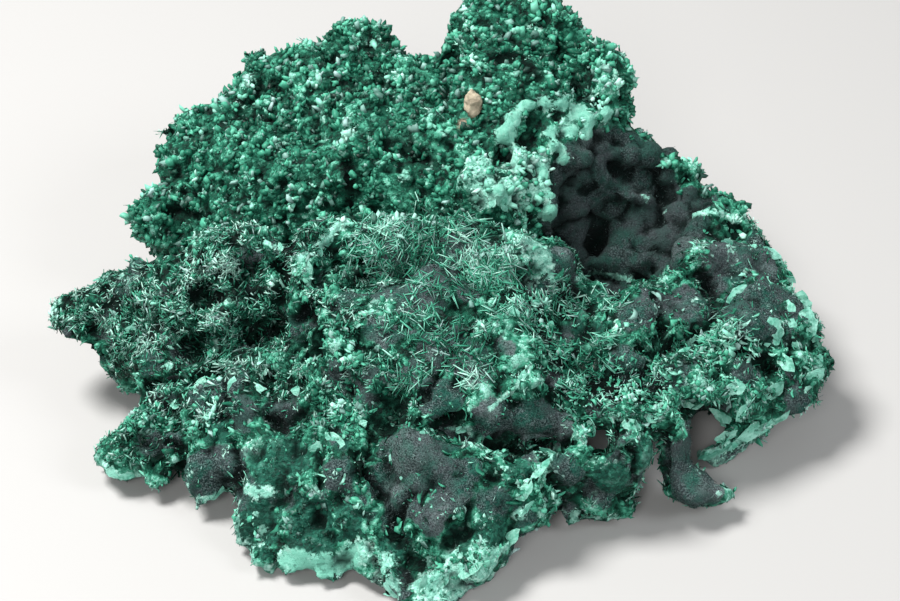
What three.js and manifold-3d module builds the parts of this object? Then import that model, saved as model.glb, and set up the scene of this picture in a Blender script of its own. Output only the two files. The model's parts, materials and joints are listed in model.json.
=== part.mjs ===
// Velvet malachite: one grown crust of fibrous malachite, with a tan chip of its host rock caught in it.
// Millimetres, +Z up. The crust lies on its broken underside, and its front faces -Y.
// The origin is under the middle of its bounding box, on the surface that it rests on.

import * as THREE from "three";
import { mergeVertices } from "three/addons/utils/BufferGeometryUtils.js";
import { ImprovedNoise } from "three/addons/math/ImprovedNoise.js";
import { SimplifyModifier } from "three/addons/modifiers/SimplifyModifier.js";
import { MarchingCubes } from "three/addons/objects/MarchingCubes.js";
import Module from "manifold-3d";

const wasm = await Module();
wasm.setup();

// Driving dimensions of the surface relief.
const BLEND = 1.8; // how far a lump flows into its neighbour
const SWELL_WAVE = 10; // length of the swells on a mass
const SWELL_HEIGHT = 1.4;
const CRAG_WAVE = 4.5; // length of the sharper crags on the swells
const CRAG_HEIGHT = 1.2;
const CELL = 1.8; // size of the cubes that the crust's surface is cut into
const CELLS = 68;
const CORNER = [-62, -40, -6]; // lowest corner of the cubes
const SKIN_FACETS = 5900; // how many facets are left on the bare skin
const FACETS = 9850; // and on the whole crust
const FAR = 50; // a field value far outside
const SLAB = 60; // thickness of what is cut off below the floor
const CLEARANCE = 0.3; // gap round the chip of host rock
const BLOCK_STEP = 5; // spacing of the blocky crystals on the rear mass
const BLOCK_SIZE = 2.4;
const BLOCK_KEEP = 0.5; // share of the places that carry a crystal
const PLATE_CORNERS = 6;
const PLATE_THICKNESS = 1;
const HOLE_CORNERS = 7;
const CHIP_AT = [3.2, 34.6, 33.2];
const CHIP_TURN = [-37, 8, 12];
const CHIP_HALF = [1.4, 1.5, 2.4];

const noise = new ImprovedNoise();

// A number from 0 to 1 that depends only on its two whole-number keys.
function chance(key, salt = 0) {
  const s = Math.sin(key * 127.1 + salt * 311.7 + 17.3) * 43758.5453;
  return s - Math.floor(s);
}

// A closed geometry as a solid that can be joined and cut.
function solidOf(geometry) {
  const bare = geometry.clone();
  bare.deleteAttribute("normal");
  bare.deleteAttribute("uv");
  const merged = mergeVertices(bare, 1e-4);
  return new wasm.Manifold(
    new wasm.Mesh({
      numProp: 3,
      vertProperties: new Float32Array(merged.getAttribute("position").array),
      triVerts: new Uint32Array(merged.index.array),
    }),
  );
}

// A solid as a geometry with flat faces.
function geometryOf(solid) {
  const mesh = solid.getMesh();
  const indexed = new THREE.BufferGeometry();
  indexed.setAttribute("position", new THREE.BufferAttribute(mesh.vertProperties, 3));
  indexed.setIndex(new THREE.BufferAttribute(mesh.triVerts, 1));
  const geometry = indexed.toNonIndexed();
  geometry.computeVertexNormals();
  return geometry;
}

function placed(geometry, at, turn = [0, 0, 0]) {
  const angles = turn.map(THREE.MathUtils.degToRad);
  const rotation = new THREE.Matrix4().makeRotationFromEuler(new THREE.Euler(...angles, "ZYX"));
  geometry.applyMatrix4(rotation);
  geometry.translate(...at);
  return geometry;
}

// Roughly the distance from a point to an ellipsoid, negative inside. A row holds its centre and three half sizes.
function lumpField(p, [x, y, z, halfX, halfY, halfZ]) {
  const a = (p.x - x) / halfX;
  const b = (p.y - y) / halfY;
  const c = (p.z - z) / halfZ;
  const near = Math.hypot(a, b, c);
  if (near < 1e-3) return -Math.min(halfX, halfY, halfZ);
  return (near * (near - 1)) / Math.hypot(a / halfX, b / halfY, c / halfZ);
}

function blended(a, b) {
  const share = Math.max(BLEND - Math.abs(a - b), 0) / BLEND;
  return Math.min(a, b) - (share * share * BLEND) / 4;
}

// Swells and crags, in millimetres out from the smooth surface.
function relief(p) {
  const swell = noise.noise(p.x / SWELL_WAVE + 5.3, p.y / SWELL_WAVE + 1.7, p.z / SWELL_WAVE + 9.1);
  const crag = noise.noise(p.x / CRAG_WAVE + 0.4, p.y / CRAG_WAVE + 7.2, p.z / CRAG_WAVE + 3.8);
  return SWELL_HEIGHT * swell + CRAG_HEIGHT * (0.5 - 2 * Math.abs(crag));
}

// Everything below the surface that the crust rests on.
function belowFloor() {
  return solidOf(new THREE.BoxGeometry(400, 400, SLAB).translate(0, 0, -SLAB / 2));
}

// The field of blended lumps, kept on the corners of the cubes. It is negative inside.
function fieldOf(rows) {
  const field = new Float32Array(CELLS ** 3).fill(FAR);
  const p = new THREE.Vector3();
  const first = (value, axis) => Math.max(2, Math.floor((value - CORNER[axis]) / CELL));
  const last = (value, axis) => Math.min(CELLS - 3, Math.ceil((value - CORNER[axis]) / CELL));
  for (const row of rows) {
    const [x, y, z, halfX, halfY, halfZ] = row;
    const [reachX, reachY, reachZ] = [halfX, halfY, halfZ].map((half) => half + 3 * BLEND);
    for (let k = first(z - reachZ, 2); k <= last(z + reachZ, 2); k++)
      for (let j = first(y - reachY, 1); j <= last(y + reachY, 1); j++)
        for (let i = first(x - reachX, 0); i <= last(x + reachX, 0); i++) {
          p.set(CORNER[0] + i * CELL, CORNER[1] + j * CELL, CORNER[2] + k * CELL);
          const at = i + CELLS * (j + CELLS * k);
          field[at] = blended(field[at], lumpField(p, row));
        }
  }
  return field;
}

// The closed surface where a field passes zero.
function skin(field) {
  const cubes = new MarchingCubes(CELLS, new THREE.MeshStandardMaterial(), false, false, 60000);
  cubes.isolation = 0;
  cubes.field.set(field.map((value) => -value));
  cubes.update();
  const geometry = new THREE.BufferGeometry();
  const position = cubes.positionArray.slice(0, 3 * cubes.count);
  geometry.setAttribute("position", new THREE.BufferAttribute(position, 3));
  geometry.translate(1, 1, 1);
  geometry.scale((CELLS * CELL) / 2, (CELLS * CELL) / 2, (CELLS * CELL) / 2);
  geometry.translate(...CORNER);
  return largestOf(solidOf(geometry).subtract(belowFloor()));
}

// Loose crumbs and sealed bubbles are left out.
function largestOf(solid) {
  return solid.decompose().reduce((a, b) => (b.volume() > a.volume() ? b : a));
}

// The same surface with fewer facets.
async function thinned(solid, facets) {
  const fine = geometryOf(solid);
  fine.deleteAttribute("normal");
  const welded = mergeVertices(fine, 1e-4);
  const spare = welded.getAttribute("position").count - facets / 2;
  return solidOf(await new SimplifyModifier().modify(welded, spare));
}

const joined = (solids) => solids.reduce((all, one) => all.add(one));

// The flat-bottomed body that joins all the lobes underneath.
function base() {
  return [
    [-20, 34, 1, 19, 16, 8],
    [2, 38, 1, 19, 16, 12],
    [27, 25, 0, 14, 14, 5],
    [-13, 16, 1, 20, 12, 10],
    [6, 14, 1, 16, 12, 11],
    [-14, 17, 6, 15, 7, 11],
    [3, 16, 8, 10, 6, 10],
    [-33, 19, 5, 9, 7, 9],
    [-4, -6, 1, 18, 13, 9],
    [30, 13, 1, 14, 9, 7],
    [-26, -3, 1, 12, 9, 6],
    [-31, 4, 3, 7, 6, 6],
    [27, 38, 2, 9, 7, 7],
    [8, 49, 8, 15, 9, 14],
    [-18, 46, 6, 16, 9, 12],
  ];
}

// The rear mass: the highest part, sloping down towards the front.
function rearMass() {
  return [
    [-24, 36, 12, 17, 15, 12],
    [-6, 38, 15, 20, 17, 15],
    [9, 41, 20, 13, 13, 16],
    [-33, 44, 14, 9, 10, 10],
    [4, 27, 17, 13, 11, 10],
    [-44, 34, 13, 4, 5, 5],
    [-40, 32, 10, 5, 4, 5],
    [-40, 41, 17, 5, 5, 6],
    [-38, 47, 20, 5, 4, 5],
    [-33, 51, 21, 5, 4, 5],
    [-28, 55, 24, 5, 4, 5],
    [-25, 57, 26, 3, 3, 3],
    [-20, 56, 26, 6, 5, 6],
    [-14, 58, 29, 4, 4, 5],
    [-8, 57, 29, 4, 4, 5],
    [-17, 50, 24, 8, 6, 7],
    [-6, 51, 25, 7, 6, 6],
    [-31, 36, 21, 5, 5, 5],
    [-23, 42, 23, 5, 5, 4],
    [-22, 31, 22, 5, 5, 4],
    [-12, 40, 27, 6, 5, 4],
    [-13, 29, 24, 6, 5, 5],
    [-4, 33, 28, 5, 5, 4],
    [-30, 28, 16, 5, 4, 5],
    [5, 54, 32, 6, 6, 7],
    [12, 56, 33, 7, 6, 6],
    [17, 52, 31, 5, 6, 7],
    [22, 45, 30, 5, 6, 7],
    [22, 40, 26, 5, 5, 5],
    [9, 46, 33, 6, 5, 4],
    [13, 40, 31, 6, 5, 5],
    [17, 37, 27, 5, 4, 4],
    [13, 32, 23, 5, 6, 6],
    [12, 27, 22, 5, 5, 5],
    [15, 34, 18, 4, 4, 6],
    [6, 24, 24, 5, 5, 5],
    [3, 30, 27, 5, 4, 4],
    [7, 35, 30, 4, 4, 3],
  ];
}

// The arm that reaches out to the left, with the tall bump at its root.
function leftArm() {
  return [
    [-51, 12, 12, 5, 4, 4],
    [-47, 13, 13, 6, 5, 5],
    [-42, 12, 13, 7, 7, 7],
    [-36, 10, 12, 9, 8, 8],
    [-44, 7, 8, 6, 5, 5],
    [-32, 9, 17, 7, 6, 7],
    [-28, 12, 23, 4, 4, 6],
    [-33, 12, 22, 4, 4, 5],
    [-36, 13, 18, 4, 4, 4],
    [-40, 13, 17, 4, 4, 4],
    [-44, 12, 16, 4, 4, 3],
    [-38, 6, 16, 4, 4, 4],
    [-30, 5, 18, 4, 4, 4],
    [-25, 9, 19, 4, 4, 5],
    [-42, 2, 12, 3, 3, 3],
    [-27, 10, 13, 6, 7, 8],
  ];
}

// The ridge across the middle and the ring round its crater.
function centre() {
  return [
    [-8, 0, 12, 16, 12, 11],
    [6, -2, 12, 15, 11, 11],
    [-20, 11, 21, 3, 4, 5],
    [-17, 14, 23, 4, 3, 4],
    [-21, 7, 19, 3, 4, 5],
    [-12, 14, 24, 4, 4, 4],
    [-6, 12, 24, 5, 5, 5],
    [1, 10, 25, 6, 5, 5],
    [7, 8, 24, 5, 5, 5],
    [13, 9, 22, 5, 4, 5],
    [-15, 0, 20, 5, 5, 5],
    [-9, -1, 21, 5, 5, 5],
    [-2, 2, 22, 6, 6, 5],
    [6, 0, 21, 6, 6, 5],
    [-6, -6, 18, 5, 5, 5],
    [1, -6, 18, 5, 5, 5],
    [9, -6, 18, 6, 5, 5],
    [-11, -8, 16, 5, 4, 5],
    [-3, -11, 15, 5, 4, 5],
    [4, -11, 16, 4, 4, 5],
    [10, -11, 15, 5, 3, 4],
    [-16, -5, 15, 5, 5, 5],
    [12, 3, 20, 4, 4, 4],
  ];
}

// The broad ledge on the right and the knobs along its rim.
function rightMass() {
  return [
    [22, 2, 14, 12, 10, 6],
    [35, 5, 12, 11, 10, 6],
    [15, 8, 16, 5, 5, 5],
    [21, 7, 17, 4, 4, 4],
    [27, 7, 18, 4, 4, 4],
    [31, 9, 17, 4, 4, 4],
    [38, 24, 16, 4, 5, 6],
    [40, 28, 16, 4, 4, 5],
    [36, 17, 15, 5, 6, 6],
    [43, 24, 13, 4, 4, 6],
    [42, 18, 15, 4, 4, 5],
    [46, 18, 12, 4, 4, 5],
    [47, 12, 12, 4, 4, 5],
    [49, 8, 11, 4, 4, 4],
    [51, 4, 8, 3, 4, 3],
    [42, 11, 15, 4, 4, 4],
    [43, 4, 13, 5, 5, 4],
    [37, 3, 15, 4, 5, 4],
    [32, 2, 16, 4, 5, 4],
    [26, 0, 16, 4, 5, 4],
    [20, -2, 16, 5, 5, 4],
    [15, -5, 15, 5, 5, 5],
    [29, -5, 14, 4, 4, 4],
    [36, -4, 12, 5, 4, 4],
    [41, -3, 10, 5, 4, 4],
    [46, -1, 8, 4, 4, 3],
    [23, -7, 13, 4, 4, 4],
    [17, -10, 13, 5, 3, 4],
    [29, -10, 12, 4, 3, 3],
    [23, -12, 13, 3, 3, 3],
    [46, 8, 6, 5, 6, 4],
  ];
}

// The velvety pocket behind the ledge: its floor, its back wall and the knobs that line it.
function pocketWalls() {
  return [
    [20, 40, 13, 6, 7, 12],
    [28, 40, 13, 6, 5, 11],
    [34, 35, 12, 5, 6, 9],
    [24, 39, 20, 4, 4, 4],
    [29, 40, 21, 3, 3, 4],
    [33, 36, 18, 3, 3, 4],
    [37, 31, 15, 3, 4, 5],
    [20, 35, 12, 4, 4, 4],
    [26, 35, 13, 4, 3, 4],
    [31, 33, 11, 4, 3, 5],
    [19, 28, 9, 4, 4, 4],
    [25, 30, 7, 4, 4, 4],
    [31, 27, 7, 4, 4, 4],
    [34, 23, 10, 3, 4, 5],
    [26, 22, 5, 4, 4, 4],
    [17, 20, 12, 4, 5, 5],
  ];
}

// The knobs on the walls and the floor of the pocket.
function pocketKnobs() {
  return [
    [19, 30, 25, 2.5, 2.5, 3],
    [22, 36, 24, 3, 2.5, 3],
    [26, 38, 23, 3, 3, 3],
    [30, 38, 21, 2.5, 2.5, 3],
    [34, 34, 20, 2.5, 3, 3],
    [20, 34, 20, 2.5, 2.5, 2.5],
    [24.5, 36, 18.5, 3, 2.5, 2.5],
    [29, 36, 17, 3, 2.5, 3],
    [33, 33, 16, 2.5, 2.5, 3],
    [36, 29, 18, 2.5, 2.5, 2.5],
    [18.5, 31, 15, 2.5, 2.5, 3],
    [22.5, 34, 14, 2.5, 2.5, 2.5],
    [27, 34, 13, 3, 2.5, 2.5],
    [31, 32, 12, 2.5, 2.5, 2.5],
    [34, 28, 14, 2.5, 2.5, 2.5],
    [18, 27, 12, 2.5, 2.5, 2.5],
    [22, 30, 10.5, 2.5, 2.5, 2.5],
    [26.5, 30.5, 9.5, 3, 2.5, 2.5],
    [31, 28, 10, 2.5, 2.5, 2.5],
    [20.5, 26, 9, 2.5, 2.5, 2.5],
    [24.5, 26, 7.5, 2.5, 2.5, 2.5],
    [29, 25, 7.5, 2.5, 2.5, 2.5],
    [32, 21, 10, 2.5, 2.5, 2.5],
    [22, 21, 8, 2.5, 2.5, 2.5],
    [27, 20, 8, 2.5, 2.5, 2.5],
  ];
}

// The knobs on the side that was broken from the rock.
function backKnobs() {
  return [
    [-30, 51, 10, 6, 5, 6],
    [-22, 54, 12, 5, 4, 6],
    [-12, 55, 10, 6, 5, 6],
    [-3, 57, 14, 5, 4, 6],
    [5, 58, 11, 5, 4, 5],
    [14, 57, 14, 6, 4, 6],
    [22, 51, 10, 5, 5, 6],
    [-38, 41, 7, 5, 5, 5],
    [-38, 31, 5, 4, 5, 5],
    [27, 45, 8, 5, 4, 6],
    [9, 58, 22, 5, 3, 5],
    [-8, 57, 20, 5, 3, 4],
    [-17, 55, 18, 5, 4, 4],
    [17, 55, 23, 4, 3, 4],
    [-27, 53, 18, 4, 3, 4],
    [37, 33, 5, 5, 5, 4],
    [41, 22, 5, 4, 5, 4],
    [-46, 12, 9, 4, 4, 3],
    [-34, 18, 9, 5, 4, 4],
  ];
}

// The lobes at the front left.
function frontLeft() {
  return [
    [-27, -6, 5, 13, 10, 7],
    [-45, -8, 3, 4, 4, 4],
    [-42, -6, 6, 4, 4, 4],
    [-40, -10, 4, 3, 3, 3],
    [-36, -9, 6, 4, 4, 4],
    [-33, -13, 4, 3, 3, 4],
    [-40, -1, 9, 4, 4, 4],
    [-35, -3, 11, 4, 4, 4],
    [-30, -1, 12, 5, 5, 4],
    [-24, -1, 13, 5, 5, 5],
    [-30, -8, 9, 4, 4, 4],
    [-24, -8, 11, 4, 4, 4],
    [-28, -13, 6, 4, 4, 4],
    [-22, -13, 9, 4, 4, 4],
    [-25, -19, 4, 4, 4, 5],
    [-22, -24, 3, 4, 4, 4],
    [-17, -25, 3, 4, 4, 3],
    [-12, -25, 3, 3, 3, 3],
    [-18, -19, 8, 5, 4, 5],
    [-20, -20, 3, 7, 6, 5],
    [-17, -13, 11, 4, 4, 4],
  ];
}

// The lobe at the front, with the smooth dome on its left side.
function frontCentre() {
  return [
    [-1, -17, 7, 12, 9, 7],
    [-12, -18, 9, 4, 5, 5],
    [-13, -22, 5, 3, 4, 4],
    [-4, -18, 12, 4, 5, 4],
    [-12, -13, 12, 4, 4, 4],
    [2, -19, 11, 5, 4, 3],
    [8, -20, 11, 5, 3, 3],
    [12, -19, 10, 3, 3, 3],
    [10, -22, 7, 4, 3, 4],
    [4, -24, 7, 5, 4, 4],
    [-3, -25, 6, 5, 4, 4],
    [-9, -26, 4, 4, 4, 4],
    [-6, -31, 2, 4, 4, 3],
    [-2, -33, 1, 4, 4, 3],
    [2, -29, 3, 4, 4, 4],
    [6, -27, 4, 3, 3, 4],
  ];
}

// The thin curtains that hang from the front edge of the ledge, and the strip under its right end.
function hangingLobes() {
  return [
    [16, -16, 9, 3, 3, 5],
    [17, -18, 4, 3, 2.5, 4],
    [20, -16, 10, 4, 2.5, 5],
    [20, -18, 4, 3, 2, 4],
    [23, -18, 3, 2.5, 2, 3],
    [24, -16, 8, 2.5, 2.5, 5],
    [30, -11, 9, 2.5, 3, 5],
    [30, -14, 5, 2.5, 2.5, 4],
    [32, -16, 3, 3.5, 2.5, 3],
    [36, -15.5, 2.5, 3.5, 2.2, 2.4],
    [37, -6, 1, 2, 2.5, 2.5],
    [40, -4, 3, 2.5, 2.5, 2.5],
    [43, -3, 5, 2.5, 2.5, 2.5],
  ];
}

// What is hollowed out: the pocket, the crater, the crevices between the lobes and the space under the ledge.
function hollows() {
  return [
    [25, 25, 22, 10, 11, 14],
    [-12, 5, 26, 3.5, 3.5, 5],
    [-20, -1, 21, 3, 2.5, 5],
    [-24, 2, 20, 2.5, 3, 4],
    [-34, 5, 21, 2.5, 2.5, 3],
    [6, -16, 15, 6, 1.4, 2.6],
    [-8, -22, 13, 1.2, 5, 3],
    [21, -9, 3, 6, 5, 6],
    [35, -1, 3, 5, 4, 4],
    [28, -3, 2, 8, 6, 5],
    [9, 47, 38, 2.5, 3, 3],
    [-6, 31, 31, 3, 3, 2.5],
  ];
}

// A broken plate of banded malachite with an uneven outline.
function plate(radius, key) {
  const corners = [];
  for (let i = 0; i < PLATE_CORNERS; i++) {
    const turn = ((i + 0.6 * chance(key, i)) / PLATE_CORNERS) * 2 * Math.PI;
    const reach = radius * (0.75 + 0.4 * chance(key, i + 20));
    corners.push(new THREE.Vector2(reach * Math.cos(turn), reach * Math.sin(turn)));
  }
  const settings = { depth: PLATE_THICKNESS, steps: 1, bevelEnabled: false };
  return new THREE.ExtrudeGeometry(new THREE.Shape(corners), settings);
}

// The plates stand along the rims. Each row holds a place, the three turns and the radius.
function plates() {
  return [
    [49, 10, 15, 40, 30, 0, 2.6],
    [49.5, 6, 13.5, 60, 35, 0, 2.8],
    [50, 2, 11.5, 50, 30, 10, 2.8],
    [47, -1, 11.5, 60, 10, 0, 2.6],
    [43, -4.5, 11, 70, 0, 20, 2.8],
    [39, -6.5, 11, 60, -10, 0, 2.5],
    [44.5, 1, 15, 30, 20, 0, 2.6],
    [26, -13, 14, 50, 0, 15, 2.6],
    [29, -11.5, 13.5, 35, 15, 40, 2.2],
    [33.5, -7, 14.5, 30, -10, 0, 2.8],
    [37, -6.5, 13, 45, 20, 30, 2.4],
    [31.5, -6, 15.8, 20, 20, 0, 2],
    [39.5, -4.5, 3.5, 60, 10, 0, 2.4],
    [8.7, 31, 30.5, 40, -20, 0, 2.6],
    [11.5, 28.5, 27, 50, 20, 30, 2.8],
    [13.6, 23.8, 24, 60, 30, 0, 2.8],
    [16, 30.4, 27.5, 50, 40, 0, 3],
    [20, 35.5, 29, 60, 30, 0, 2.6],
    [4.3, 26.7, 28.5, 40, 0, 50, 2.4],
    [2, 22.5, 27, 60, -10, 0, 2.4],
    [14, 21.5, 20, 70, 20, 0, 2.4],
    [10.5, 6.5, 27.8, 20, 30, 0, 3],
    [13.5, 6, 25, 40, 40, 0, 2.6],
    [-20.3, 8.5, 24, 60, -30, 0, 2.4],
    [-18.3, 11, 25.5, 60, -10, 20, 2.6],
    [-15.5, 13, 26.5, 50, 10, 0, 2.2],
    [-45, -10.5, 4.5, 60, -30, 0, 2.6],
    [-40.5, -12.5, 3.5, 60, -10, 20, 2.4],
    [-33.5, -16, 4, 70, 0, 0, 2.6],
    [-21, -28, 2.5, 50, -10, 0, 2.8],
    [-15.5, -28.5, 1.8, 40, 0, 30, 2.8],
    [-10.5, -29.5, 3, 60, -40, 0, 2.6],
    [-7.5, -32.5, 2.8, 60, -40, 0, 2.4],
    [11, -12, 18.5, 70, 10, 30, 2.6],
  ];
}

const finder = new THREE.Raycaster();
const DOWN = new THREE.Vector3(0, 0, -1);

// The place and the outward direction of a surface under a point, as seen from above.
function seat(mesh, x, y) {
  finder.set(new THREE.Vector3(x, y, 100), DOWN);
  const [hit] = finder.intersectObject(mesh);
  return hit && { at: hit.point, out: hit.face.normal };
}

// Blocky crystals with flat faces, scattered over the rear mass and half sunk into it.
function blocks(mesh) {
  const solids = [];
  const turn = new THREE.Euler();
  for (let row = 0; row < 10; row++)
    for (let column = 0; column < 15; column++) {
      const key = 20 * row + column;
      if (chance(key, 1) > BLOCK_KEEP) continue;
      const x = -46 + BLOCK_STEP * (column + 0.9 * chance(key, 2));
      const y = 24 + BLOCK_STEP * 0.8 * (row + 0.9 * chance(key, 3));
      const place = seat(mesh, x, y);
      if (!place || place.at.z < 15) continue;
      const [wide, thick, long] = [4, 5, 6].map((salt) => BLOCK_SIZE * (0.6 + 0.5 * chance(key, salt)));
      const block = new THREE.CylinderGeometry(0.35 * wide, 0.6 * wide, 1.6 * long, 5).scale(1, 1, thick / wide);
      turn.set(0.9 * chance(key, 7) - 0.2, 3 * chance(key, 8), 0.9 * chance(key, 9) - 0.45);
      block.applyMatrix4(new THREE.Matrix4().makeRotationFromEuler(turn));
      block.applyQuaternion(new THREE.Quaternion().setFromUnitVectors(DOWN.clone().negate(), place.out));
      const sunk = place.at.addScaledVector(place.out, 0.15 * BLOCK_SIZE);
      solids.push(solidOf(block.translate(sunk.x, sunk.y, sunk.z)));
    }
  return solids;
}

// The chip of host rock, and the recess that it lies in.
function chip(gap) {
  const stone = new THREE.DodecahedronGeometry(1);
  stone.scale(...CHIP_HALF.map((half) => half + gap));
  return placed(stone, CHIP_AT, CHIP_TURN);
}

// A hole along the line from the front and above. Each row holds its mouth, the radius and the depth.
function holes() {
  const rows = [
    [19.7, -16.8, 13.8, 1.7, 17],
    [0.8, -11.8, 19.9, 1.1, 5],
  ];
  return rows.map(([x, y, z, radius, depth]) => {
    const hole = new THREE.CylinderGeometry(radius, 0.8 * radius, depth, HOLE_CORNERS);
    hole.translate(0, -depth / 2 + 1, 0);
    return solidOf(placed(hole, [x, y, z], [142, 0, 0]));
  });
}

async function crustSolid() {
  const grown = fieldOf([
    ...base(),
    ...rearMass(),
    ...leftArm(),
    ...centre(),
    ...rightMass(),
    ...pocketWalls(),
    ...backKnobs(),
    ...frontLeft(),
    ...frontCentre(),
    ...hangingLobes(),
  ]);
  const hollow = fieldOf(hollows());
  const knobs = fieldOf(pocketKnobs());
  const p = new THREE.Vector3();
  const field = grown.map((value, at) => {
    const i = at % CELLS;
    const j = Math.floor(at / CELLS) % CELLS;
    const k = Math.floor(at / CELLS ** 2);
    p.set(CORNER[0] + i * CELL, CORNER[1] + j * CELL, CORNER[2] + k * CELL);
    return blended(Math.max(value, -hollow[at]), knobs[at]) - relief(p);
  });
  const bare = await thinned(skin(field), SKIN_FACETS);
  const crystals = blocks(new THREE.Mesh(geometryOf(bare)));
  const rims = plates().map(([x, y, z, a, b, c, radius], key) =>
    solidOf(placed(plate(radius, key), [x, y, z], [a, b, c])),
  );
  const whole = joined([bare, ...crystals, ...rims]);
  const cutters = [belowFloor(), solidOf(chip(CLEARANCE)), ...holes()];
  const cut = cutters.reduce((left, cutter) => left.subtract(cutter), whole);
  return largestOf(await thinned(cut, FACETS));
}

const crust = new THREE.Mesh(
  geometryOf(await crustSolid()),
  new THREE.MeshStandardMaterial({ color: 0x2f6f57, roughness: 0.75, metalness: 0 }),
);
crust.name = "malachite_crust";

const rock = new THREE.Mesh(
  chip(0),
  new THREE.MeshStandardMaterial({ color: 0xb99c7e, roughness: 0.85, metalness: 0 }),
);
rock.name = "host_rock_chip";

const specimen = new THREE.Group();
specimen.add(crust, rock);
const box = new THREE.Box3().setFromObject(crust);
specimen.position.set(-(box.min.x + box.max.x) / 2, -(box.min.y + box.max.y) / 2, -box.min.z);

export default specimen;
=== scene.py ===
import json
import math

import bpy
import numpy as np
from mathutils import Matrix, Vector, noise

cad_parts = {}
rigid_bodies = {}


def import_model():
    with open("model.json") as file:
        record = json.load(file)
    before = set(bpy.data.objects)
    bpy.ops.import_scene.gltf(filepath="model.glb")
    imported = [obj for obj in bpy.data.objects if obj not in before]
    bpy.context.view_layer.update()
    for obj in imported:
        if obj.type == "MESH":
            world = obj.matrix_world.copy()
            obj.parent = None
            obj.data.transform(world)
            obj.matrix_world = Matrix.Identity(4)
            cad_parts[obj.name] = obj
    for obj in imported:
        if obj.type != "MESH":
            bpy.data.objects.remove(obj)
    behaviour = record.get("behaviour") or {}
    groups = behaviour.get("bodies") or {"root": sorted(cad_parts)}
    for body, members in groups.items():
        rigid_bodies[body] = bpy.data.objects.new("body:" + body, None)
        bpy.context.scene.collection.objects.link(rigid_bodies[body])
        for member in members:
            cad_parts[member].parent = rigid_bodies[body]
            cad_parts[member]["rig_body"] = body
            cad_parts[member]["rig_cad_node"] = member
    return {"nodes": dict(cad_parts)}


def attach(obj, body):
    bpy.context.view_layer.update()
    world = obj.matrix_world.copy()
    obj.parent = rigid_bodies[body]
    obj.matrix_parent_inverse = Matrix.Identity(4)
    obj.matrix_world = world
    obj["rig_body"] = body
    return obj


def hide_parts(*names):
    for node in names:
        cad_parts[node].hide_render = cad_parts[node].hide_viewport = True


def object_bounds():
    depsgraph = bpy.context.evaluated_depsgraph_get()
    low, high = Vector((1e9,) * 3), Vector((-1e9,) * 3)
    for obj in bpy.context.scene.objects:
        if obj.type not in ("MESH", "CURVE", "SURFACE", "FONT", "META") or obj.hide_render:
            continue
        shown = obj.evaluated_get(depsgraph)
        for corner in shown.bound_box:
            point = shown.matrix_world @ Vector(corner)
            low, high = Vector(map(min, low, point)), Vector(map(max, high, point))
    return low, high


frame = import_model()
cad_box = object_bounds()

# View and light
# The specimen is seen from the front and from 38 degrees above, as a stone on a table is looked at.
# It stands on a plain pale floor, under a broad lamp on the left, weaker lamps on the right and in front, and
# an even sky.
PHOTO_WIDTH, PHOTO_HEIGHT = 900, 601
LENS, SENSOR = 85, 36
ELEVATION = math.radians(38)
LOOK_AT = Vector((0.001919, -0.013182, 0.024))
DISTANCE = 0.286
BACKWARD = Vector((0, -math.cos(ELEVATION), math.sin(ELEVATION)))
UPWARD = Vector((0, math.sin(ELEVATION), math.cos(ELEVATION)))
PIXELS_PER_SLOPE = LENS / SENSOR * PHOTO_WIDTH

eye = LOOK_AT + DISTANCE * BACKWARD
bpy.ops.object.camera_add(location=eye, rotation=(math.pi / 2 - ELEVATION, 0, 0))
camera = bpy.context.object
camera.data.lens = LENS
camera.data.sensor_width = SENSOR
bpy.context.scene.camera = camera


def lamp(name, place, size, power, colour):
    bpy.ops.object.light_add(type="AREA", location=place)
    light = bpy.context.object
    light.name = name
    light.rotation_euler = (LOOK_AT - Vector(place)).to_track_quat("-Z", "Y").to_euler()
    light.data.shape = "DISK"
    light.data.size = size
    light.data.energy = power
    light.data.color = colour


lamp("broad_lamp", (-0.32, 0.12, 0.62), 0.26, 10.5, (1, 0.99, 0.97))
lamp("weak_lamp", (0.55, -0.2, 0.45), 0.3, 2.2, (0.95, 0.98, 1))
lamp("front_lamp", (-0.12, -0.62, 0.5), 0.3, 3.6, (1, 0.99, 0.98))

sky = bpy.data.worlds.new("even_sky")
bpy.context.scene.world = sky
sky.use_nodes = True
sky.node_tree.nodes["Background"].inputs["Color"].default_value = (0.95, 0.98, 1, 1)
sky.node_tree.nodes["Background"].inputs["Strength"].default_value = 0.26
bpy.context.scene.view_settings.view_transform = "Standard"


class Value:
    """A socket of a material. Arithmetic on it adds Math nodes."""

    def __init__(self, tree, socket):
        self.tree, self.socket = tree, socket

    def math(self, operation, *others):
        node = self.tree.nodes.new("ShaderNodeMath")
        node.operation = operation
        for slot, value in zip(node.inputs, (self, *others)):
            put(self.tree, slot, value)
        return Value(self.tree, node.outputs[0])

    def __add__(self, other):
        return self.math("ADD", other)

    def __mul__(self, other):
        return self.math("MULTIPLY", other)

    def __sub__(self, other):
        return self.math("SUBTRACT", other)

    def __rsub__(self, other):
        return (self * -1).math("ADD", other)

    def clamped(self, low, high):
        return ((self - low) * (1 / (high - low))).math("MAXIMUM", 0).math("MINIMUM", 1)

    __radd__, __rmul__ = __add__, __mul__


def put(tree, slot, value):
    if isinstance(value, Value):
        tree.links.new(value.socket, slot)
    else:
        slot.default_value = value


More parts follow.
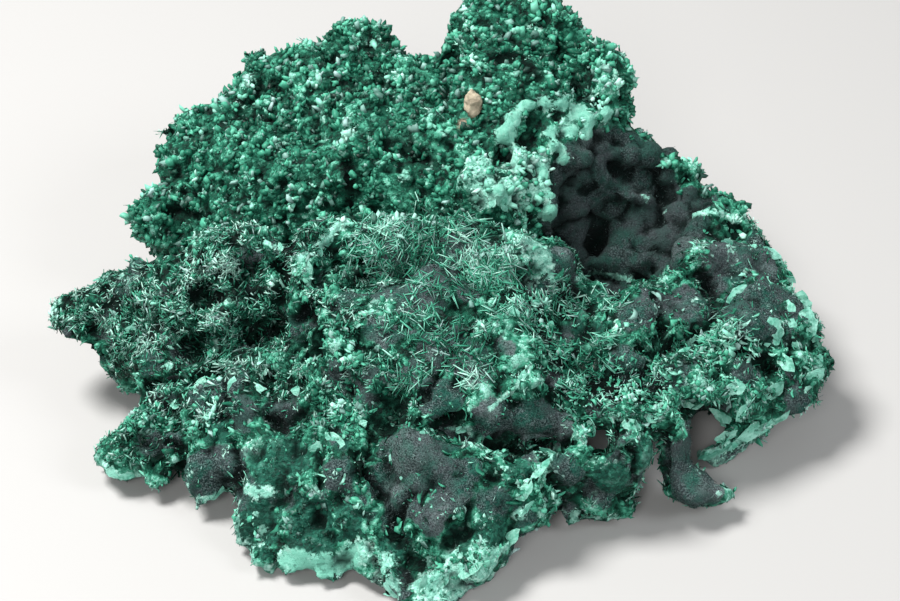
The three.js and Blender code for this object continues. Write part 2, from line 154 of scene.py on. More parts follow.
class Finish:
    """A procedural material of this specimen."""

    def __init__(self, name):
        self.material = bpy.data.materials.new(name)
        self.material.use_nodes = True
        self.tree = self.material.node_tree
        self.tree.nodes.clear()

    def node(self, kind, settings={}, sockets={}, output=0):
        made = self.tree.nodes.new(kind)
        for key, value in settings.items():
            setattr(made, key, value)
        for key, value in sockets.items():
            put(self.tree, made.inputs[key], value)
        return Value(self.tree, made.outputs[output])

    def place(self):
        return self.node("ShaderNodeTexCoord", output="Object")

    def grain(self, size, detail=2.0, rough=0.5):
        """Soft noise from about 0 to 1 with swells of that size in metres."""
        sockets = {"Vector": self.place(), "Scale": 1 / size, "Detail": detail, "Roughness": rough}
        return self.node("ShaderNodeTexNoise", sockets=sockets)

    def cells(self, size):
        """Ragged cells of that size in metres: the distance from the cell's middle, and the cell's chance."""
        noise_sockets = {"Vector": self.place(), "Scale": 1.6 / size}
        shake = self.node("ShaderNodeTexNoise", sockets=noise_sockets, output=1)
        shift = self.node("ShaderNodeVectorMath", {"operation": "SCALE"}, {0: shake, "Scale": 0.9 * size})
        moved = self.node("ShaderNodeVectorMath", {"operation": "ADD"}, {0: self.place(), 1: shift})
        distance = self.node("ShaderNodeTexVoronoi", sockets={"Vector": moved, "Scale": 1 / size})
        colour = Value(self.tree, distance.socket.node.outputs["Color"])
        return distance, self.node("ShaderNodeSeparateColor", sockets={"Color": colour})

    def channels(self, name):
        """The three numbers of a vertex attribute."""
        colour = self.node("ShaderNodeAttribute", {"attribute_name": name}, output="Color")
        split = self.node("ShaderNodeSeparateColor", sockets={"Color": colour})
        outputs = split.socket.node.outputs
        return [Value(self.tree, outputs[i]) for i in range(3)]

    def layered(self, colour, *layers):
        """A colour under layers of others. A layer holds its share and its colour."""
        settings = {"data_type": "RGBA", "blend_type": "MIX"}
        for share, other in layers:
            one, two = (given if isinstance(given, Value) else (*given, 1) for given in (colour, other))
            colour = self.node("ShaderNodeMix", settings, {0: share, 6: one, 7: two}, 2)
        return colour

    def shades(self, tone, colour, *steps):
        """A colour that turns to others as the tone rises. A step holds two tones and the second's colour."""
        return self.layered(colour, *((tone.clamped(low, high), other) for low, high, other in steps))

    def bump(self, height, depth):
        return self.node("ShaderNodeBump", sockets={"Height": height, "Distance": depth, "Strength": 1.0})

    def surface(self, **sockets):
        """A Principled shader. Socket names are written with _ for a space."""
        named = {key.replace("_", " "): value for key, value in sockets.items()}
        return self.node("ShaderNodeBsdfPrincipled", sockets=named)

    def finish(self, shader=None, **sockets):
        """The material, with that shader or with a Principled one of these sockets."""
        out = self.tree.nodes.new("ShaderNodeOutputMaterial")
        put(self.tree, out.inputs["Surface"], shader or self.surface(**sockets))
        return self.material


bpy.ops.mesh.primitive_plane_add(size=6, location=(0, 0, 0))
floor = bpy.context.object
floor.name = "floor"
floor.data.materials.append(Finish("pale_floor").finish(Base_Color=(0.34, 0.336, 0.332, 1), Roughness=0.6))

# The crust
# One grown crust of fibrous malachite, copied from its solid, remeshed finer and roughened. Its skin is
# plum-black velvet on the domes, deep emerald to silky green between them and mint on broken rims; painted
# shade makes it black in the crevices and darker in creases, hollows and gaps. The zones lie where the
# photograph shows them, and by chance on the far sides.
VOXEL = 0.00063


def edited(piece, operator, **settings):
    """Uses an edit mode operator on all of a piece."""
    bpy.context.view_layer.objects.active = piece
    bpy.ops.object.mode_set(mode="EDIT")
    bpy.ops.mesh.select_all(action="SELECT")
    operator(**settings)
    bpy.ops.object.mode_set(mode="OBJECT")


def copy_of(node, name):
    """A copy of a solid of the frame, with its doubles merged."""
    bpy.ops.object.select_all(action="DESELECT")
    piece = frame["nodes"][node].copy()
    piece.data = piece.data.copy()
    piece.name = name
    piece.parent = None
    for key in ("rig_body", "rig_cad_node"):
        del piece[key]
    bpy.context.collection.objects.link(piece)
    piece.select_set(True)
    edited(piece, bpy.ops.mesh.remove_doubles, threshold=1e-6)
    piece.data.materials.clear()
    return piece


def modified(piece, kind, **settings):
    """Adds a modifier and applies it."""
    modifier = piece.modifiers.new(kind.lower(), kind)
    for key, value in settings.items():
        setattr(modifier, key, value)
    bpy.context.view_layer.objects.active = piece
    bpy.ops.object.modifier_apply(modifier=modifier.name)


def vectors_of(piece, field):
    """The co or normal of each vertex."""
    flat = np.zeros(3 * len(piece.data.vertices), np.float32)
    piece.data.vertices.foreach_get(field, flat)
    return flat.reshape(-1, 3).astype(float)


def vertices_of(rows, count):
    """The numbers of the vertices that each edge or triangle joins."""
    flat = np.zeros(count * len(rows), np.int32)
    rows.foreach_get("vertices", flat)
    return flat.reshape(-1, count)


def unit(rows):
    return rows / np.maximum(np.linalg.norm(rows, axis=-1, keepdims=True), 1e-12)


crust = copy_of("malachite_crust", "grown_crust")


def under_pixel(u, v):
    """The crust's point and outward direction under a pixel of the photograph, and a pixel's length there.

    Where the pixel shows no crust, the nearest one that does takes its place."""
    for reach in range(0, 25, 3):
        for turn in range(8 if reach else 1):
            du, dv = reach * math.cos(turn * math.pi / 4), reach * math.sin(turn * math.pi / 4)
            right = (u + du - PHOTO_WIDTH / 2) / PIXELS_PER_SLOPE
            up = float(PHOTO_HEIGHT / 2 - (v + dv)) / PIXELS_PER_SLOPE
            way = (Vector((right, 0, 0)) - BACKWARD + up * UPWARD).normalized()
            hit, at, out, _ = crust.ray_cast(eye, way)
            if hit:
                at = np.array(at)
                return at, np.array(out), np.linalg.norm(at - np.array(eye)) / PIXELS_PER_SLOPE
    raise ValueError(f"no crust near pixel {u}, {v}")


def along_lines(rows, spacing):
    """Pixels along lines. A row holds the line's half width and corners, a step its u, v and half width."""
    steps = []
    for width, *corners in rows:
        for (u0, v0), (u1, v1) in zip(corners, corners[1:]):
            count = max(2, math.ceil(math.hypot(u1 - u0, v1 - v0) / (spacing * width)))
            steps += [(u0 + (u1 - u0) * t, v0 + (v1 - v0) * t, width) for t in np.linspace(0, 1, count)]
    return steps


# Lumps that are fused to the crust: pixel, radius in pixels and height in millimetres.
LUMPS = [
    (575, 196, 27, 4), (612, 252, 28, 9), (567, 260, 16, 1.6), (640, 150, 24, 4), (598, 150, 17, 3),
    (668, 168, 22, 2.6), (652, 204, 20, 5.5), (690, 172, 14, 1.4), (624, 198, 15, 4.5), (598, 222, 14, 4),
    (636, 262, 14, 6), (640, 228, 14, 4), (590, 268, 12, 3), (618, 172, 14, 3), (611, 187, 17, 7.5),
    (660, 240, 16, 2), (506, 134, 13, 1.8), (513, 118, 11, 1.5), (528, 106, 10, 1.4), (546, 101, 10, 1.4),
    (563, 104, 10, 1.4), (578, 112, 10, 1.4), (591, 121, 11, 1.5), (607, 114, 11, 1.5), (550, 131, 10, 1.3),
    (558, 146, 12, 1.7), (564, 160, 9, 1.3), (515, 168, 11, 1.4), (500, 192, 11, 1.6), (480, 162, 14, 1.4),
    (543, 172, 9, 1.5), (553, 192, 8, 1.4), (551, 212, 9, 1.4), (530, 186, 9, 1.2), (570, 130, 10, 1.4),
    (588, 133, 10, 1.4), (522, 152, 10, 1.3), (536, 158, 9, 1.3), (512, 182, 10, 1.4), (525, 203, 9, 1.3),
    (468, 178, 10, 1.2), (662, 273, 11, 1.1), (714, 214, 10, 1), (690, 225, 10, 0.9), (678, 246, 10, 1),
    (700, 252, 10, 0.8), (724, 247, 11, 1), (747, 262, 12, 1), (640, 308, 22, 1.2), (690, 305, 21, 1.2),
    (735, 300, 17, 0.8), (772, 295, 17, 0.8), (715, 199, 14, 0.9), (697, 379, 12, 1.3), (735, 389, 8, 1),
    (630, 362, 14, 0.9), (333, 342, 11, 1.1), (338, 472, 17, 1.2), (145, 415, 10, 1.1), (165, 440, 12, 0.9),
    (205, 475, 21, 0.7), (236, 410, 15, 1), (205, 400, 13, 0.9), (300, 405, 13, 0.9), (330, 392, 12, 0.9),
    (290, 372, 13, 0.9), (250, 380, 12, 0.9), (375, 385, 14, 0.9), (360, 360, 12, 0.8), (398, 449, 30, 0.9),
    (425, 448, 24, 1), (445, 463, 20, 0.8), (383, 452, 18, 0.8), (455, 490, 16, 0.9), (430, 510, 14, 0.8),
    (525, 490, 11, 1.1), (520, 516, 10, 1), (541, 504, 8, 0.9), (480, 470, 15, 0.8), (610, 478, 22, 1),
    (650, 455, 19, 1), (572, 478, 14, 0.8), (590, 505, 12, 0.8), (697, 485, 24, 1.2), (535, 422, 24, 1.2),
    (490, 425, 20, 0.9), (440, 345, 18, 0.9), (475, 360, 16, 0.8), (430, 390, 18, 0.9), (803, 404, 13, 0.9),
    (795, 395, 10, 0.7), (725, 490, 10, 0.8), (445, 560, 16, 1), (480, 548, 16, 0.9), (420, 585, 14, 1),
    (255, 520, 20, 1), (300, 525, 18, 0.9), (340, 520, 16, 1), (275, 460, 20, 0.9), (120, 455, 13, 0.8),
    (605, 90, 20, 1), (480, 65, 12, 1), (350, 45, 13, 1.1), (250, 75, 12, 1), (320, 115, 10, 1),
    (345, 120, 9, 1.1), (405, 175, 9, 1.1), (240, 175, 12, 0.9), (200, 150, 12, 0.9), (155, 215, 14, 0.9),
    (262, 108, 17, 5), (447, 74, 13, 1.5), (172, 128, 10, 1.2), (255, 56, 10, 1.2), (385, 34, 10, 1),
    (395, 555, 12, 1), (437, 577, 10, 1.2), (475, 572, 12, 1), (498, 556, 12, 1), (400, 505, 14, 0.9),
    (70, 333, 9, 1.2), (82, 338, 9, 1.4), (94, 346, 9, 1.4), (102, 358, 9, 1.2), (110, 372, 9, 1),
    (242, 524, 12, 1.5), (247, 540, 12, 1.8), (257, 555, 12, 1.8), (272, 567, 11, 1.5), (724, 201, 12, 1.3),
    (735, 211, 14, 1.6), (749, 231, 14, 1.6), (763, 249, 12, 1.2), (225, 255, 20, 0.9), (105, 300, 20, 0.8),
    (150, 290, 18, 0.8), (130, 262, 14, 0.9), (205, 320, 14, 0.9), (255, 285, 14, 0.8), (160, 345, 16, 0.8),
    (120, 330, 14, 0.8), (280, 345, 14, 0.9), (350, 255, 14, 0.9),
]
# Chains of such lumps: radius in pixels, height in millimetres and the chain's corners.
TONGUES = [
    (9, 1.4, (374, 546), (384, 568), (400, 598)), (7, 0.8, (100, 464), (114, 474), (130, 480)),
    (8, 0.8, (507, 236), (530, 241), (548, 254), (563, 272)), (5, 0.7, (578, 277), (603, 274), (630, 280)),
    (6, 0.8, (505, 448), (530, 448), (548, 450)), (5, 0.8, (690, 214), (706, 210), (722, 212)),
]
rows = list(LUMPS)
for radius, height, *chain in TONGUES:
    rows += [(u, v, radius, height) for u, v, _ in along_lines([(radius, *chain)], 0.7)]
lumps = [(*under_pixel(u, v), radius, 0.001 * height) for u, v, radius, height in rows]
BURIED = 0.002
bpy.ops.object.mode_set(mode="EDIT")
for at, out, pixel, radius, high in lumps:
    wide, half_height = radius * pixel, (high + BURIED) / 2
    turn = Vector(out).to_track_quat("Z", "Y").to_euler()
    bpy.ops.mesh.primitive_ico_sphere_add(
        subdivisions=3, radius=1, location=at + out * (high - half_height), rotation=turn,
        scale=(wide, wide, half_height)
    )
bpy.ops.object.mode_set(mode="OBJECT")
modified(crust, "REMESH", mode="VOXEL", voxel_size=VOXEL, use_smooth_shade=True)
modified(crust, "SMOOTH", factor=0.5, iterations=4)
crust_points = vectors_of(crust, "co")
crust_edges = vertices_of(crust.data.edges, 2)


def relaxed(points, rounds):
    """The points drawn towards their neighbours that many times."""
    first, second = crust_edges.T
    count = len(points)
    neighbours = np.bincount(crust_edges.ravel(), minlength=count)[:, None]
    for _ in range(rounds):
        total = [
            np.bincount(first, points[second, axis], count) + np.bincount(second, points[first, axis], count)
            for axis in range(3)
        ]
        points = 0.5 * points + 0.5 * np.stack(total, 1) / neighbours
    return points


smooth_out = unit(relaxed(vectors_of(crust, "normal"), 8))

# Crevices part the lobes: half width in pixels, depth in millimetres and the line's corners.
CREVICES = [
    (5, 2.2, (136, 394), (150, 384), (168, 378), (192, 376), (215, 370)), (6, 1.2, (187, 298), (206, 294)),
    (9, 2.6, (298, 318), (313, 300), (332, 305)), (6, 2.2, (318, 325), (313, 345), (308, 358)),
    (6, 2, (275, 302), (284, 278), (280, 262)), (5, 2.6, (438, 428), (452, 421), (465, 420)),
    (5, 3.2, (488, 446), (520, 442), (550, 444), (572, 438)), (4, 2.2, (372, 432), (369, 465), (380, 498)),
    (6, 2.6, (664, 343), (690, 338), (714, 325)), (11, 3, (690, 414), (712, 416)),
    (8, 2.6, (600, 424), (622, 424)), (3, 1.6, (632, 445), (637, 482)), (4, 2.2, (664, 440), (662, 478)),
    (4, 1.8, (655, 290), (662, 312), (668, 336)), (5, 1.8, (702, 268), (713, 290), (716, 316)),
    (6, 2.2, (265, 416), (285, 426), (302, 411)), (4, 1.6, (190, 417), (201, 432)),
    (4, 1.8, (232, 440), (237, 470), (231, 492)), (4, 1.6, (317, 452), (317, 490)),
    (4, 1.6, (356, 450), (361, 484)), (5, 1.8, (168, 440), (180, 458), (176, 478)),
    (4, 1.8, (368, 542), (373, 562), (378, 588)), (5, 1.6, (575, 286), (590, 310), (585, 332)),
    (12, 1, (388, 144), (408, 146), (426, 160)), (11, 1, (494, 60), (520, 55), (536, 76)),
    (7, 0.9, (335, 106), (346, 95)), (9, 0.9, (346, 165), (351, 190)), (7, 0.9, (164, 208), (198, 214)),
    (4, 1.5, (545, 455), (556, 480), (566, 500)), (8, 2, (362, 264), (364, 286)),
    (4, 1.5, (420, 400), (440, 375), (452, 352)), (4, 1.5, (340, 372), (352, 395), (350, 420)),
    (4, 1.4, (268, 372), (272, 395), (262, 412)), (4, 1.4, (222, 372), (226, 395), (216, 420)),
    (4, 1.4, (410, 495), (395, 520), (400, 545)), (4, 1.4, (470, 505), (465, 530), (440, 545)),
    (5, 1.8, (740, 350), (765, 362), (775, 372)), (4, 1.4, (640, 345), (655, 352), (650, 380)),
]


def crevices_at(points):
    """How far each point lies in a crevice, and the crevice's depth in millimetres."""
    share, depth = np.zeros(len(points)), np.zeros(len(points))
    for half_width, millimetres, *corners in CREVICES:
        for u, v, _ in along_lines([(half_width, *corners)], 0.6):
            at, _, pixel = under_pixel(u, v)
            near = np.exp(-(np.linalg.norm(points - at, axis=1) / (half_width * pixel)) ** 2)
            share = np.maximum(share, near)
            depth = np.maximum(depth, near * millimetres)
    return share, depth


_, crevice_depth = crevices_at(crust_points)
PULLED_IN = 0.35
crust_points = crust_points - smooth_out * ((crevice_depth + PULLED_IN) * 0.001)[:, None]

# The top of the rear mass is pressed down to the line that it shows against the background.
SKYLINE = [
    (150, 150), (165, 125), (200, 105), (225, 95), (236, 90), (238, 74), (246, 55), (262, 50), (270, 59),
    (285, 53), (305, 43), (318, 51), (326, 39), (345, 24), (370, 21), (385, 28), (392, 41), (402, 58),
    (430, 63), (440, 53), (446, 35), (452, 12), (460, 2),
]


def seen_at(points):
    """The pixel columns and rows at which the camera sees the points, and the size of a pixel there."""
    away = points - np.array(eye)
    pixel = -(away @ np.array(BACKWARD)) / PIXELS_PER_SLOPE
    return PHOTO_WIDTH / 2 + away[:, 0] / pixel, PHOTO_HEIGHT / 2 - away @ np.array(UPWARD) / pixel, pixel


column, row, pixel = seen_at(crust_points)
line_columns, line_rows = np.array(SKYLINE).T
above = np.clip(np.interp(column, line_columns, line_rows) - row, 0, None)
above = np.where((column > line_columns[0]) & (column < line_columns[-1]), above, 0)
crust_points = crust_points - np.array(UPWARD) * (0.92 * above * pixel)[:, None]


def set_points(piece, points):
    piece.data.vertices.foreach_set("co", points.astype(np.float32).ravel())
    piece.data.update()


set_points(crust, crust_points)
crust_normals = vectors_of(crust, "normal")


def wobble(size, seed):
    """Noise from about -1 to 1 with swells of that size at each point of the crust."""
    offset = Vector((seed * 0.37, seed * 0.71, seed * 0.13))
    return np.array([noise.noise(Vector(p) + offset) for p in crust_points / size])


def smooth_step(x, low, high):
    t = np.clip((x - low) / (high - low), 0, 1)
    return t * t * (3 - 2 * t)


ragged = wobble(0.0022, 1) + 0.5 * wobble(0.0009, 2)


def chance(size, seed, low, high):
    """Patches of about that size that lie by chance."""
    return smooth_step(wobble(size, seed) + 0.35 * ragged, low, high)


def patches(rows, soft=0.35):
    """How far each point lies in the patches: a pixel, the radius in pixels and perhaps a strength."""
    inside = np.zeros(len(crust_points))
    for u, v, radius, *strength in rows:
        at, _, pixel = under_pixel(u, v)
        away = np.linalg.norm(crust_points - at, axis=1) / (radius * pixel) + 0.3 * ragged
        inside = np.maximum(inside, (strength or [1])[0] * (1 - smooth_step(away, 1 - soft, 1 + soft)))
    return inside


def ellipsoid(centre, half_axes):
    """1 inside an ellipsoid given in millimetres of the frame, 0 outside."""
    away = (crust_points * 1000 - centre) / half_axes
    return 1 - smooth_step(np.linalg.norm(away, axis=1) + 0.1 * ragged, 0.85, 1.15)


def clear_of(*shares):
    """1 where a vertex lies in none of the zones, 0 where it lies wholly in one."""
    return math.prod(1 - share for share in shares)


hidden = 1 - smooth_step(crust_normals @ np.array(BACKWARD), 0.0, 0.3)
x_mm, y_mm, z_mm = crust_points.T * 1000
POCKET_EDGE_SPOTS = [(694, 172, 17), (706, 188, 12), (674, 160, 9)]
pocket = np.maximum(
    ellipsoid((26.9, 11.8, 20), (12.5, 13.5, 16)),
    ellipsoid((28.9, 17.8, 20), (13, 9, 9)),
) * (1 - patches(POCKET_EDGE_SPOTS, 0.4))
rear = smooth_step(y_mm - 0.25 * np.abs(x_mm + 6) + 1.5 * ragged, -0.7, 2.3) * (1 - pocket)
rear = rear * (1 - 0.9 * hidden * chance(0.013, 41, 0.0, 0.35))

EMERALD_SPOTS = [
    (590, 335, 18), (612, 478, 22), (650, 455, 22), (275, 460, 34), (258, 525, 30), (310, 520, 26),
    (350, 520, 16), (395, 545, 16), (520, 470, 14), (490, 530, 18), (460, 540, 12), (590, 300, 16),
    (310, 545, 26), (215, 430, 16),
]
emerald = np.maximum(patches(EMERALD_SPOTS), hidden * chance(0.012, 11, 0.1, 0.4)) * clear_of(rear, pocket)

VELVET_SPOTS = [
    (430, 230, 15), (405, 290, 10), (470, 290, 12), (445, 345, 26), (472, 365, 20), (495, 422, 24),
    (535, 424, 26), (562, 426, 14), (440, 398, 22), (420, 378, 12), (403, 452, 34), (385, 480, 18),
    (340, 472, 20, 0.8), (205, 475, 26), (236, 410, 22, 0.8), (640, 308, 26), (690, 305, 26), (755, 305, 34),
    (798, 300, 14), (735, 255, 32), (762, 268, 24), (715, 200, 18), (675, 250, 10), (630, 360, 20),
    (690, 450, 24), (698, 485, 28), (680, 465, 20), (572, 478, 16, 0.8), (803, 405, 18), (747, 325, 16),
    (148, 362, 16, 0.6), (345, 292, 9), (165, 440, 16, 0.7), (290, 405, 16, 0.5), (365, 395, 16, 0.6),
    (600, 405, 16, 0.7), (745, 370, 18, 0.8), (320, 500, 14, 0.5), (300, 520, 12, 0.6), (480, 500, 16, 0.4),
    (245, 255, 12, 0.5), (400, 500, 22, 0.9), (395, 522, 16, 0.8), (492, 507, 18, 0.8), (530, 455, 10),
    (425, 440, 20), (430, 468, 24), (452, 492, 20, 0.9), (470, 468, 16, 0.8), (430, 520, 18, 0.8),
    (500, 500, 14, 0.7), (712, 285, 18, 0.9), (665, 302, 16, 0.9), (722, 312, 16, 0.9), (772, 285, 20, 0.9),
    (150, 442, 14, 0.7), (255, 455, 16, 0.6), (352, 500, 14, 0.7), (395, 550, 14, 0.5), (270, 415, 14, 0.5),
    (240, 375, 14, 0.5), (565, 465, 14, 0.9), (215, 455, 16, 0.7), (340, 440, 14, 0.6), (300, 460, 14, 0.6),
    (180, 352, 12, 0.6), (270, 335, 12, 0.5), (190, 300, 12, 0.5), (110, 315, 8, 0.5), (372, 375, 12, 0.6),
]
KNOB_SPOTS = [(567, 260, 19)]
RIDGE_SPOTS = [(400, 245, 36), (440, 255, 34), (420, 290, 30), (385, 290, 24), (420, 215, 24)]
knob = patches(KNOB_SPOTS, 0.15)
velvet = np.maximum.reduce([
    patches(VELVET_SPOTS), knob, 0.8 * patches(RIDGE_SPOTS, 0.4), pocket,
    0.9 * hidden * (1 - rear) * chance(0.01, 7, 0.0, 0.35),
    0.8 * clear_of(hidden, rear) * chance(0.0055, 17, 0.15, 0.4),
]) * clear_of(0.9 * rear, 0.75 * emerald)

MINT_RIMS = [
    (7, (507, 236), (530, 240), (545, 252), (560, 270), (568, 284)), (3, (576, 277), (600, 273), (632, 279)),
    (5, (300, 258), (320, 245), (335, 228), (346, 222)), (4, (305, 264), (309, 278), (312, 290)),
    (3, (93, 267), (108, 270), (125, 276)), (3, (50, 298), (54, 308), (62, 316)),
    (3, (447, 430), (460, 426), (473, 434)),
    (2.5, (500, 449), (525, 447), (552, 449), (548, 470), (540, 490)),
    (5, (440, 588), (465, 580), (490, 572), (510, 548)), (6, (372, 548), (380, 568), (396, 592)),
    (4, (100, 462), (112, 472), (124, 480), (148, 484)), (3, (198, 498), (215, 503), (232, 488)),
    (7, (246, 489), (258, 492), (268, 492)),
    (14, (290, 560), (305, 564), (325, 566), (345, 562), (358, 554)),
    (5, (690, 215), (704, 210), (722, 212), (735, 219)),
    (2.5, (490, 408), (506, 396), (520, 385), (530, 366)),
    (3, (230, 500), (229, 530), (238, 552), (262, 570)), (5, (705, 454), (728, 446), (752, 436), (775, 424)),
]
RIM_SPOTS = [
    (506, 134, 13), (512, 118, 11), (527, 107, 10), (545, 101, 9), (562, 104, 9), (578, 112, 9),
    (591, 121, 10), (607, 114, 10), (570, 131, 9), (588, 132, 9), (550, 131, 9), (558, 146, 12),
    (564, 160, 8), (543, 172, 9), (553, 192, 9), (549, 213, 10), (500, 194, 11),
]
MINT_SPOTS = [
    (485, 256, 20, 0.5), (508, 264, 24, 0.7), (540, 262, 20, 0.9), (560, 276, 12), (455, 262, 12, 0.4),
    (484, 162, 22, 0.8), (488, 190, 20, 0.85), (518, 160, 18, 0.85), (540, 168, 16, 0.9),
    (515, 190, 18, 0.9), (536, 192, 14, 0.85), (462, 178, 12, 0.6), (525, 208, 12, 0.7), (570, 128, 14, 0.8),
    (590, 95, 10, 0.5), (615, 85, 12, 0.5), (135, 328, 8, 0.7), (210, 346, 7, 0.8), (168, 366, 5),
    (200, 274, 9, 0.6), (276, 248, 6), (378, 308, 14, 0.55), (333, 342, 10, 0.8), (662, 272, 10),
    (697, 379, 11), (735, 389, 8, 0.8), (428, 582, 18), (450, 584, 18), (492, 560, 16), (145, 413, 9, 0.9),
    (172, 421, 5), (725, 495, 10, 0.4), (590, 500, 10, 0.4), (575, 516, 8, 0.7), (540, 512, 8, 0.8),
    (520, 515, 9, 0.7), (475, 560, 14, 0.4), (255, 512, 4), (261, 530, 5), (262, 542, 4), (265, 565, 5),
    (455, 568, 16), (480, 572, 14, 0.8), (500, 558, 12, 0.8), (432, 562, 7), (437, 576, 9), (437, 590, 10),
    (450, 552, 12, 0.7), (395, 580, 12, 0.9), (388, 560, 10), (668, 160, 4, 0.5), (676, 182, 4, 0.4),
    (692, 165, 7, 0.6), (612, 80, 12, 0.4), (645, 198, 6, 0.5), (668, 211, 5, 0.5), (345, 120, 8, 0.7),
    (320, 115, 8, 0.6), (250, 78, 8, 0.6), (405, 175, 7, 0.8), (265, 55, 9, 0.5),
]
rim_lumps = patches(RIM_SPOTS, 0.3)
mint = (1 - knob) * np.maximum.reduce([
    rim_lumps, patches(along_lines(MINT_RIMS, 0.8), 0.5), patches(MINT_SPOTS),
    0.6 * smooth_step(3.2 - z_mm + 1.2 * ragged, 0, 1.2) * (crust_normals[:, 2] > -0.9),
    0.6 * hidden * (1 - pocket) * chance(0.005, 5, 0.4, 0.6),
    0.45 * clear_of(pocket, 0.7 * emerald) * chance(0.0034, 6, 0.4, 0.65),
])

# Painted shade: the skin is painted near black on these spots, along the crevices and deeper into the pocket.
SHADE_SPOTS = [
    (193, 297, 9), (287, 280, 9), (362, 275, 14), (315, 315, 10), (456, 382, 7), (700, 415, 13),
    (405, 146, 12, 0.8), (515, 62, 18, 0.7), (350, 175, 11, 0.6), (185, 212, 14, 0.7), (285, 418, 14, 0.8),
    (575, 300, 10, 0.6), (250, 530, 18, 0.5), (262, 515, 12, 0.4),
]
crevice, _ = crevices_at(crust_points)
deep_shade = np.maximum.reduce([
    patches(SHADE_SPOTS), 0.95 * smooth_step(crevice, 0.3, 0.85),
    0.35 * pocket * smooth_step(16.8 - y_mm - 0.5 * z_mm, 0, 14),
])

SILKY_SPOTS = [
    (610, 80, 18, 0.7), (590, 500, 14, 0.7), (726, 488, 14), (540, 465, 12), (405, 452, 34, 0.4),
    (450, 560, 24, 0.8), (485, 555, 22, 0.8), (375, 345, 14, 0.6), (135, 328, 10), (662, 445, 12, 0.6),
    (130, 470, 16, 0.6), (590, 125, 24, 0.6),
]
SILKY_SCALES = [
    (512, 338, 13), (518, 352, 14), (510, 362, 10), (511, 316, 11), (480, 392, 12), (488, 405, 13),
    (492, 415, 8), (690, 240, 22, 0.5), (700, 262, 14, 0.5), (375, 345, 12, 0.5), (425, 352, 10, 0.5),
]
silky = np.maximum.reduce([
    patches(SILKY_SPOTS), patches(SILKY_SCALES, 0.08),
    0.7 * clear_of(rear, pocket) * chance(0.004, 9, 0.3, 0.6),
])

FELT_SPOTS = [
    (72, 308, 28), (105, 300, 36), (140, 310, 44), (180, 325, 40), (215, 335, 30), (228, 255, 36),
    (200, 275, 26), (255, 300, 28), (285, 335, 24), (125, 350, 26), (165, 362, 18, 0.7), (285, 256, 14),
    (235, 355, 24, 0.8), (128, 445, 18, 0.6), (290, 385, 22, 0.6), (340, 385, 22, 0.5), (375, 370, 16, 0.5),
    (205, 395, 24, 0.6), (165, 398, 24, 0.7), (255, 385, 24, 0.6), (320, 240, 20, 0.6), (345, 320, 18, 0.6),
    (700, 240, 14, 0.4),
]
NET_SPOTS = [
    (395, 248, 34), (435, 255, 36), (470, 268, 30), (505, 268, 26), (375, 222, 16), (455, 222, 22),
    (415, 215, 18), (520, 300, 28), (560, 300, 24), (545, 335, 18), (565, 355, 22), (600, 385, 26),
    (640, 385, 18), (575, 395, 16), (690, 348, 16), (726, 335, 18), (660, 365, 14), (720, 392, 12),
    (440, 318, 16, 0.6), (610, 298, 14, 0.6), (420, 295, 26, 0.5), (450, 345, 24, 0.4), (410, 370, 22, 0.4),
    (470, 370, 20, 0.4), (400, 320, 20, 0.4), (600, 345, 16, 0.5),
]
BARE_SPOTS = [
    (530, 237, 8), (613, 482, 20), (650, 460, 20), (515, 350, 16), (300, 566, 24), (330, 566, 22),
    (352, 560, 18), (726, 488, 16), (262, 492, 12), (215, 500, 12), (112, 472, 12), (700, 485, 30),
    (690, 450, 20), (535, 425, 26), (403, 452, 26), (382, 570, 10), (485, 400, 12), (511, 316, 8),
]
BLACK_GROUND_SPOTS = [
    (525, 298, 26), (560, 300, 24), (545, 335, 18), (568, 355, 26), (600, 385, 30), (640, 385, 20),
    (575, 395, 18), (690, 348, 18), (726, 335, 18), (660, 365, 16), (720, 392, 12), (655, 395, 18),
    (745, 350, 14),
]
bare = patches(BARE_SPOTS)
black_ground = patches(BLACK_GROUND_SPOTS, 0.4)
open_skin = clear_of(0.9 * velvet, 0.8 * mint, deep_shade, rear, pocket, bare)
felt = np.maximum(patches(FELT_SPOTS), 0.9 * hidden * chance(0.013, 12, -0.15, 0.2)) * open_skin
net = patches(NET_SPOTS) * clear_of(0.2 * velvet, 0.5 * black_ground, 0.7 * mint, deep_shade, 0.8 * rear, bare)
tufted = open_skin * clear_of(felt, net, 0.7 * emerald)
# The front foot and the front lobes have hardly any needles.
_, crust_row, _ = seen_at(crust_points)
smooth = 0.85 * smooth_step(crust_row + 12 * ragged, 425, 450) * (1 - hidden)
# Below the chip of host rock the crystals are stained tan.
STAIN_SPOTS = [(465, 124, 8)]
stain = patches(STAIN_SPOTS, 0.5)
# The rims have a smooth skin, and so has the tongue at the very bottom.
TONGUE_SPOTS = [(300, 564, 20), (326, 567, 20), (350, 560, 16)]
even_skin = np.maximum(0.8 * rim_lumps, patches(TONGUE_SPOTS, 0.4))
# The broad domes of velvet near the front are smoother than the rest.
DOME_SPOTS = [(405, 455, 34), (435, 485, 34), (480, 492, 30), (418, 512, 26)]
calm = patches(DOME_SPOTS, 0.5)

for name, weights in {
    "grain": rear * (1 - 0.5 * rim_lumps), "felt": felt, "mint": mint * clear_of(rear, bare, rim_lumps),
    "lobed": clear_of(0.6 * rear, 0.8 * np.maximum(bare, calm)), "knobbly": pocket,
    "lumpy": np.clip(tufted + 0.3 * emerald, 0, 1) * (1 - rear),
}.items():
    group = crust.vertex_groups.new(name=name)
    for index, weight in enumerate(weights):
        if weight > 0.01:
            group.add([index], float(weight), "REPLACE")


def roughened(piece, name, kind, size, strength, group="", level=0.5, **settings):
    """Pushes the vertices in and out by a texture with swells of that size in metres."""
    texture = bpy.data.textures.new(name, kind)
    texture.noise_scale = size
    for key, value in settings.items():
        setattr(texture, key, value)
    modified(piece, "DISPLACE", texture=texture, strength=strength, mid_level=level, vertex_group=group,
             texture_coords="LOCAL")


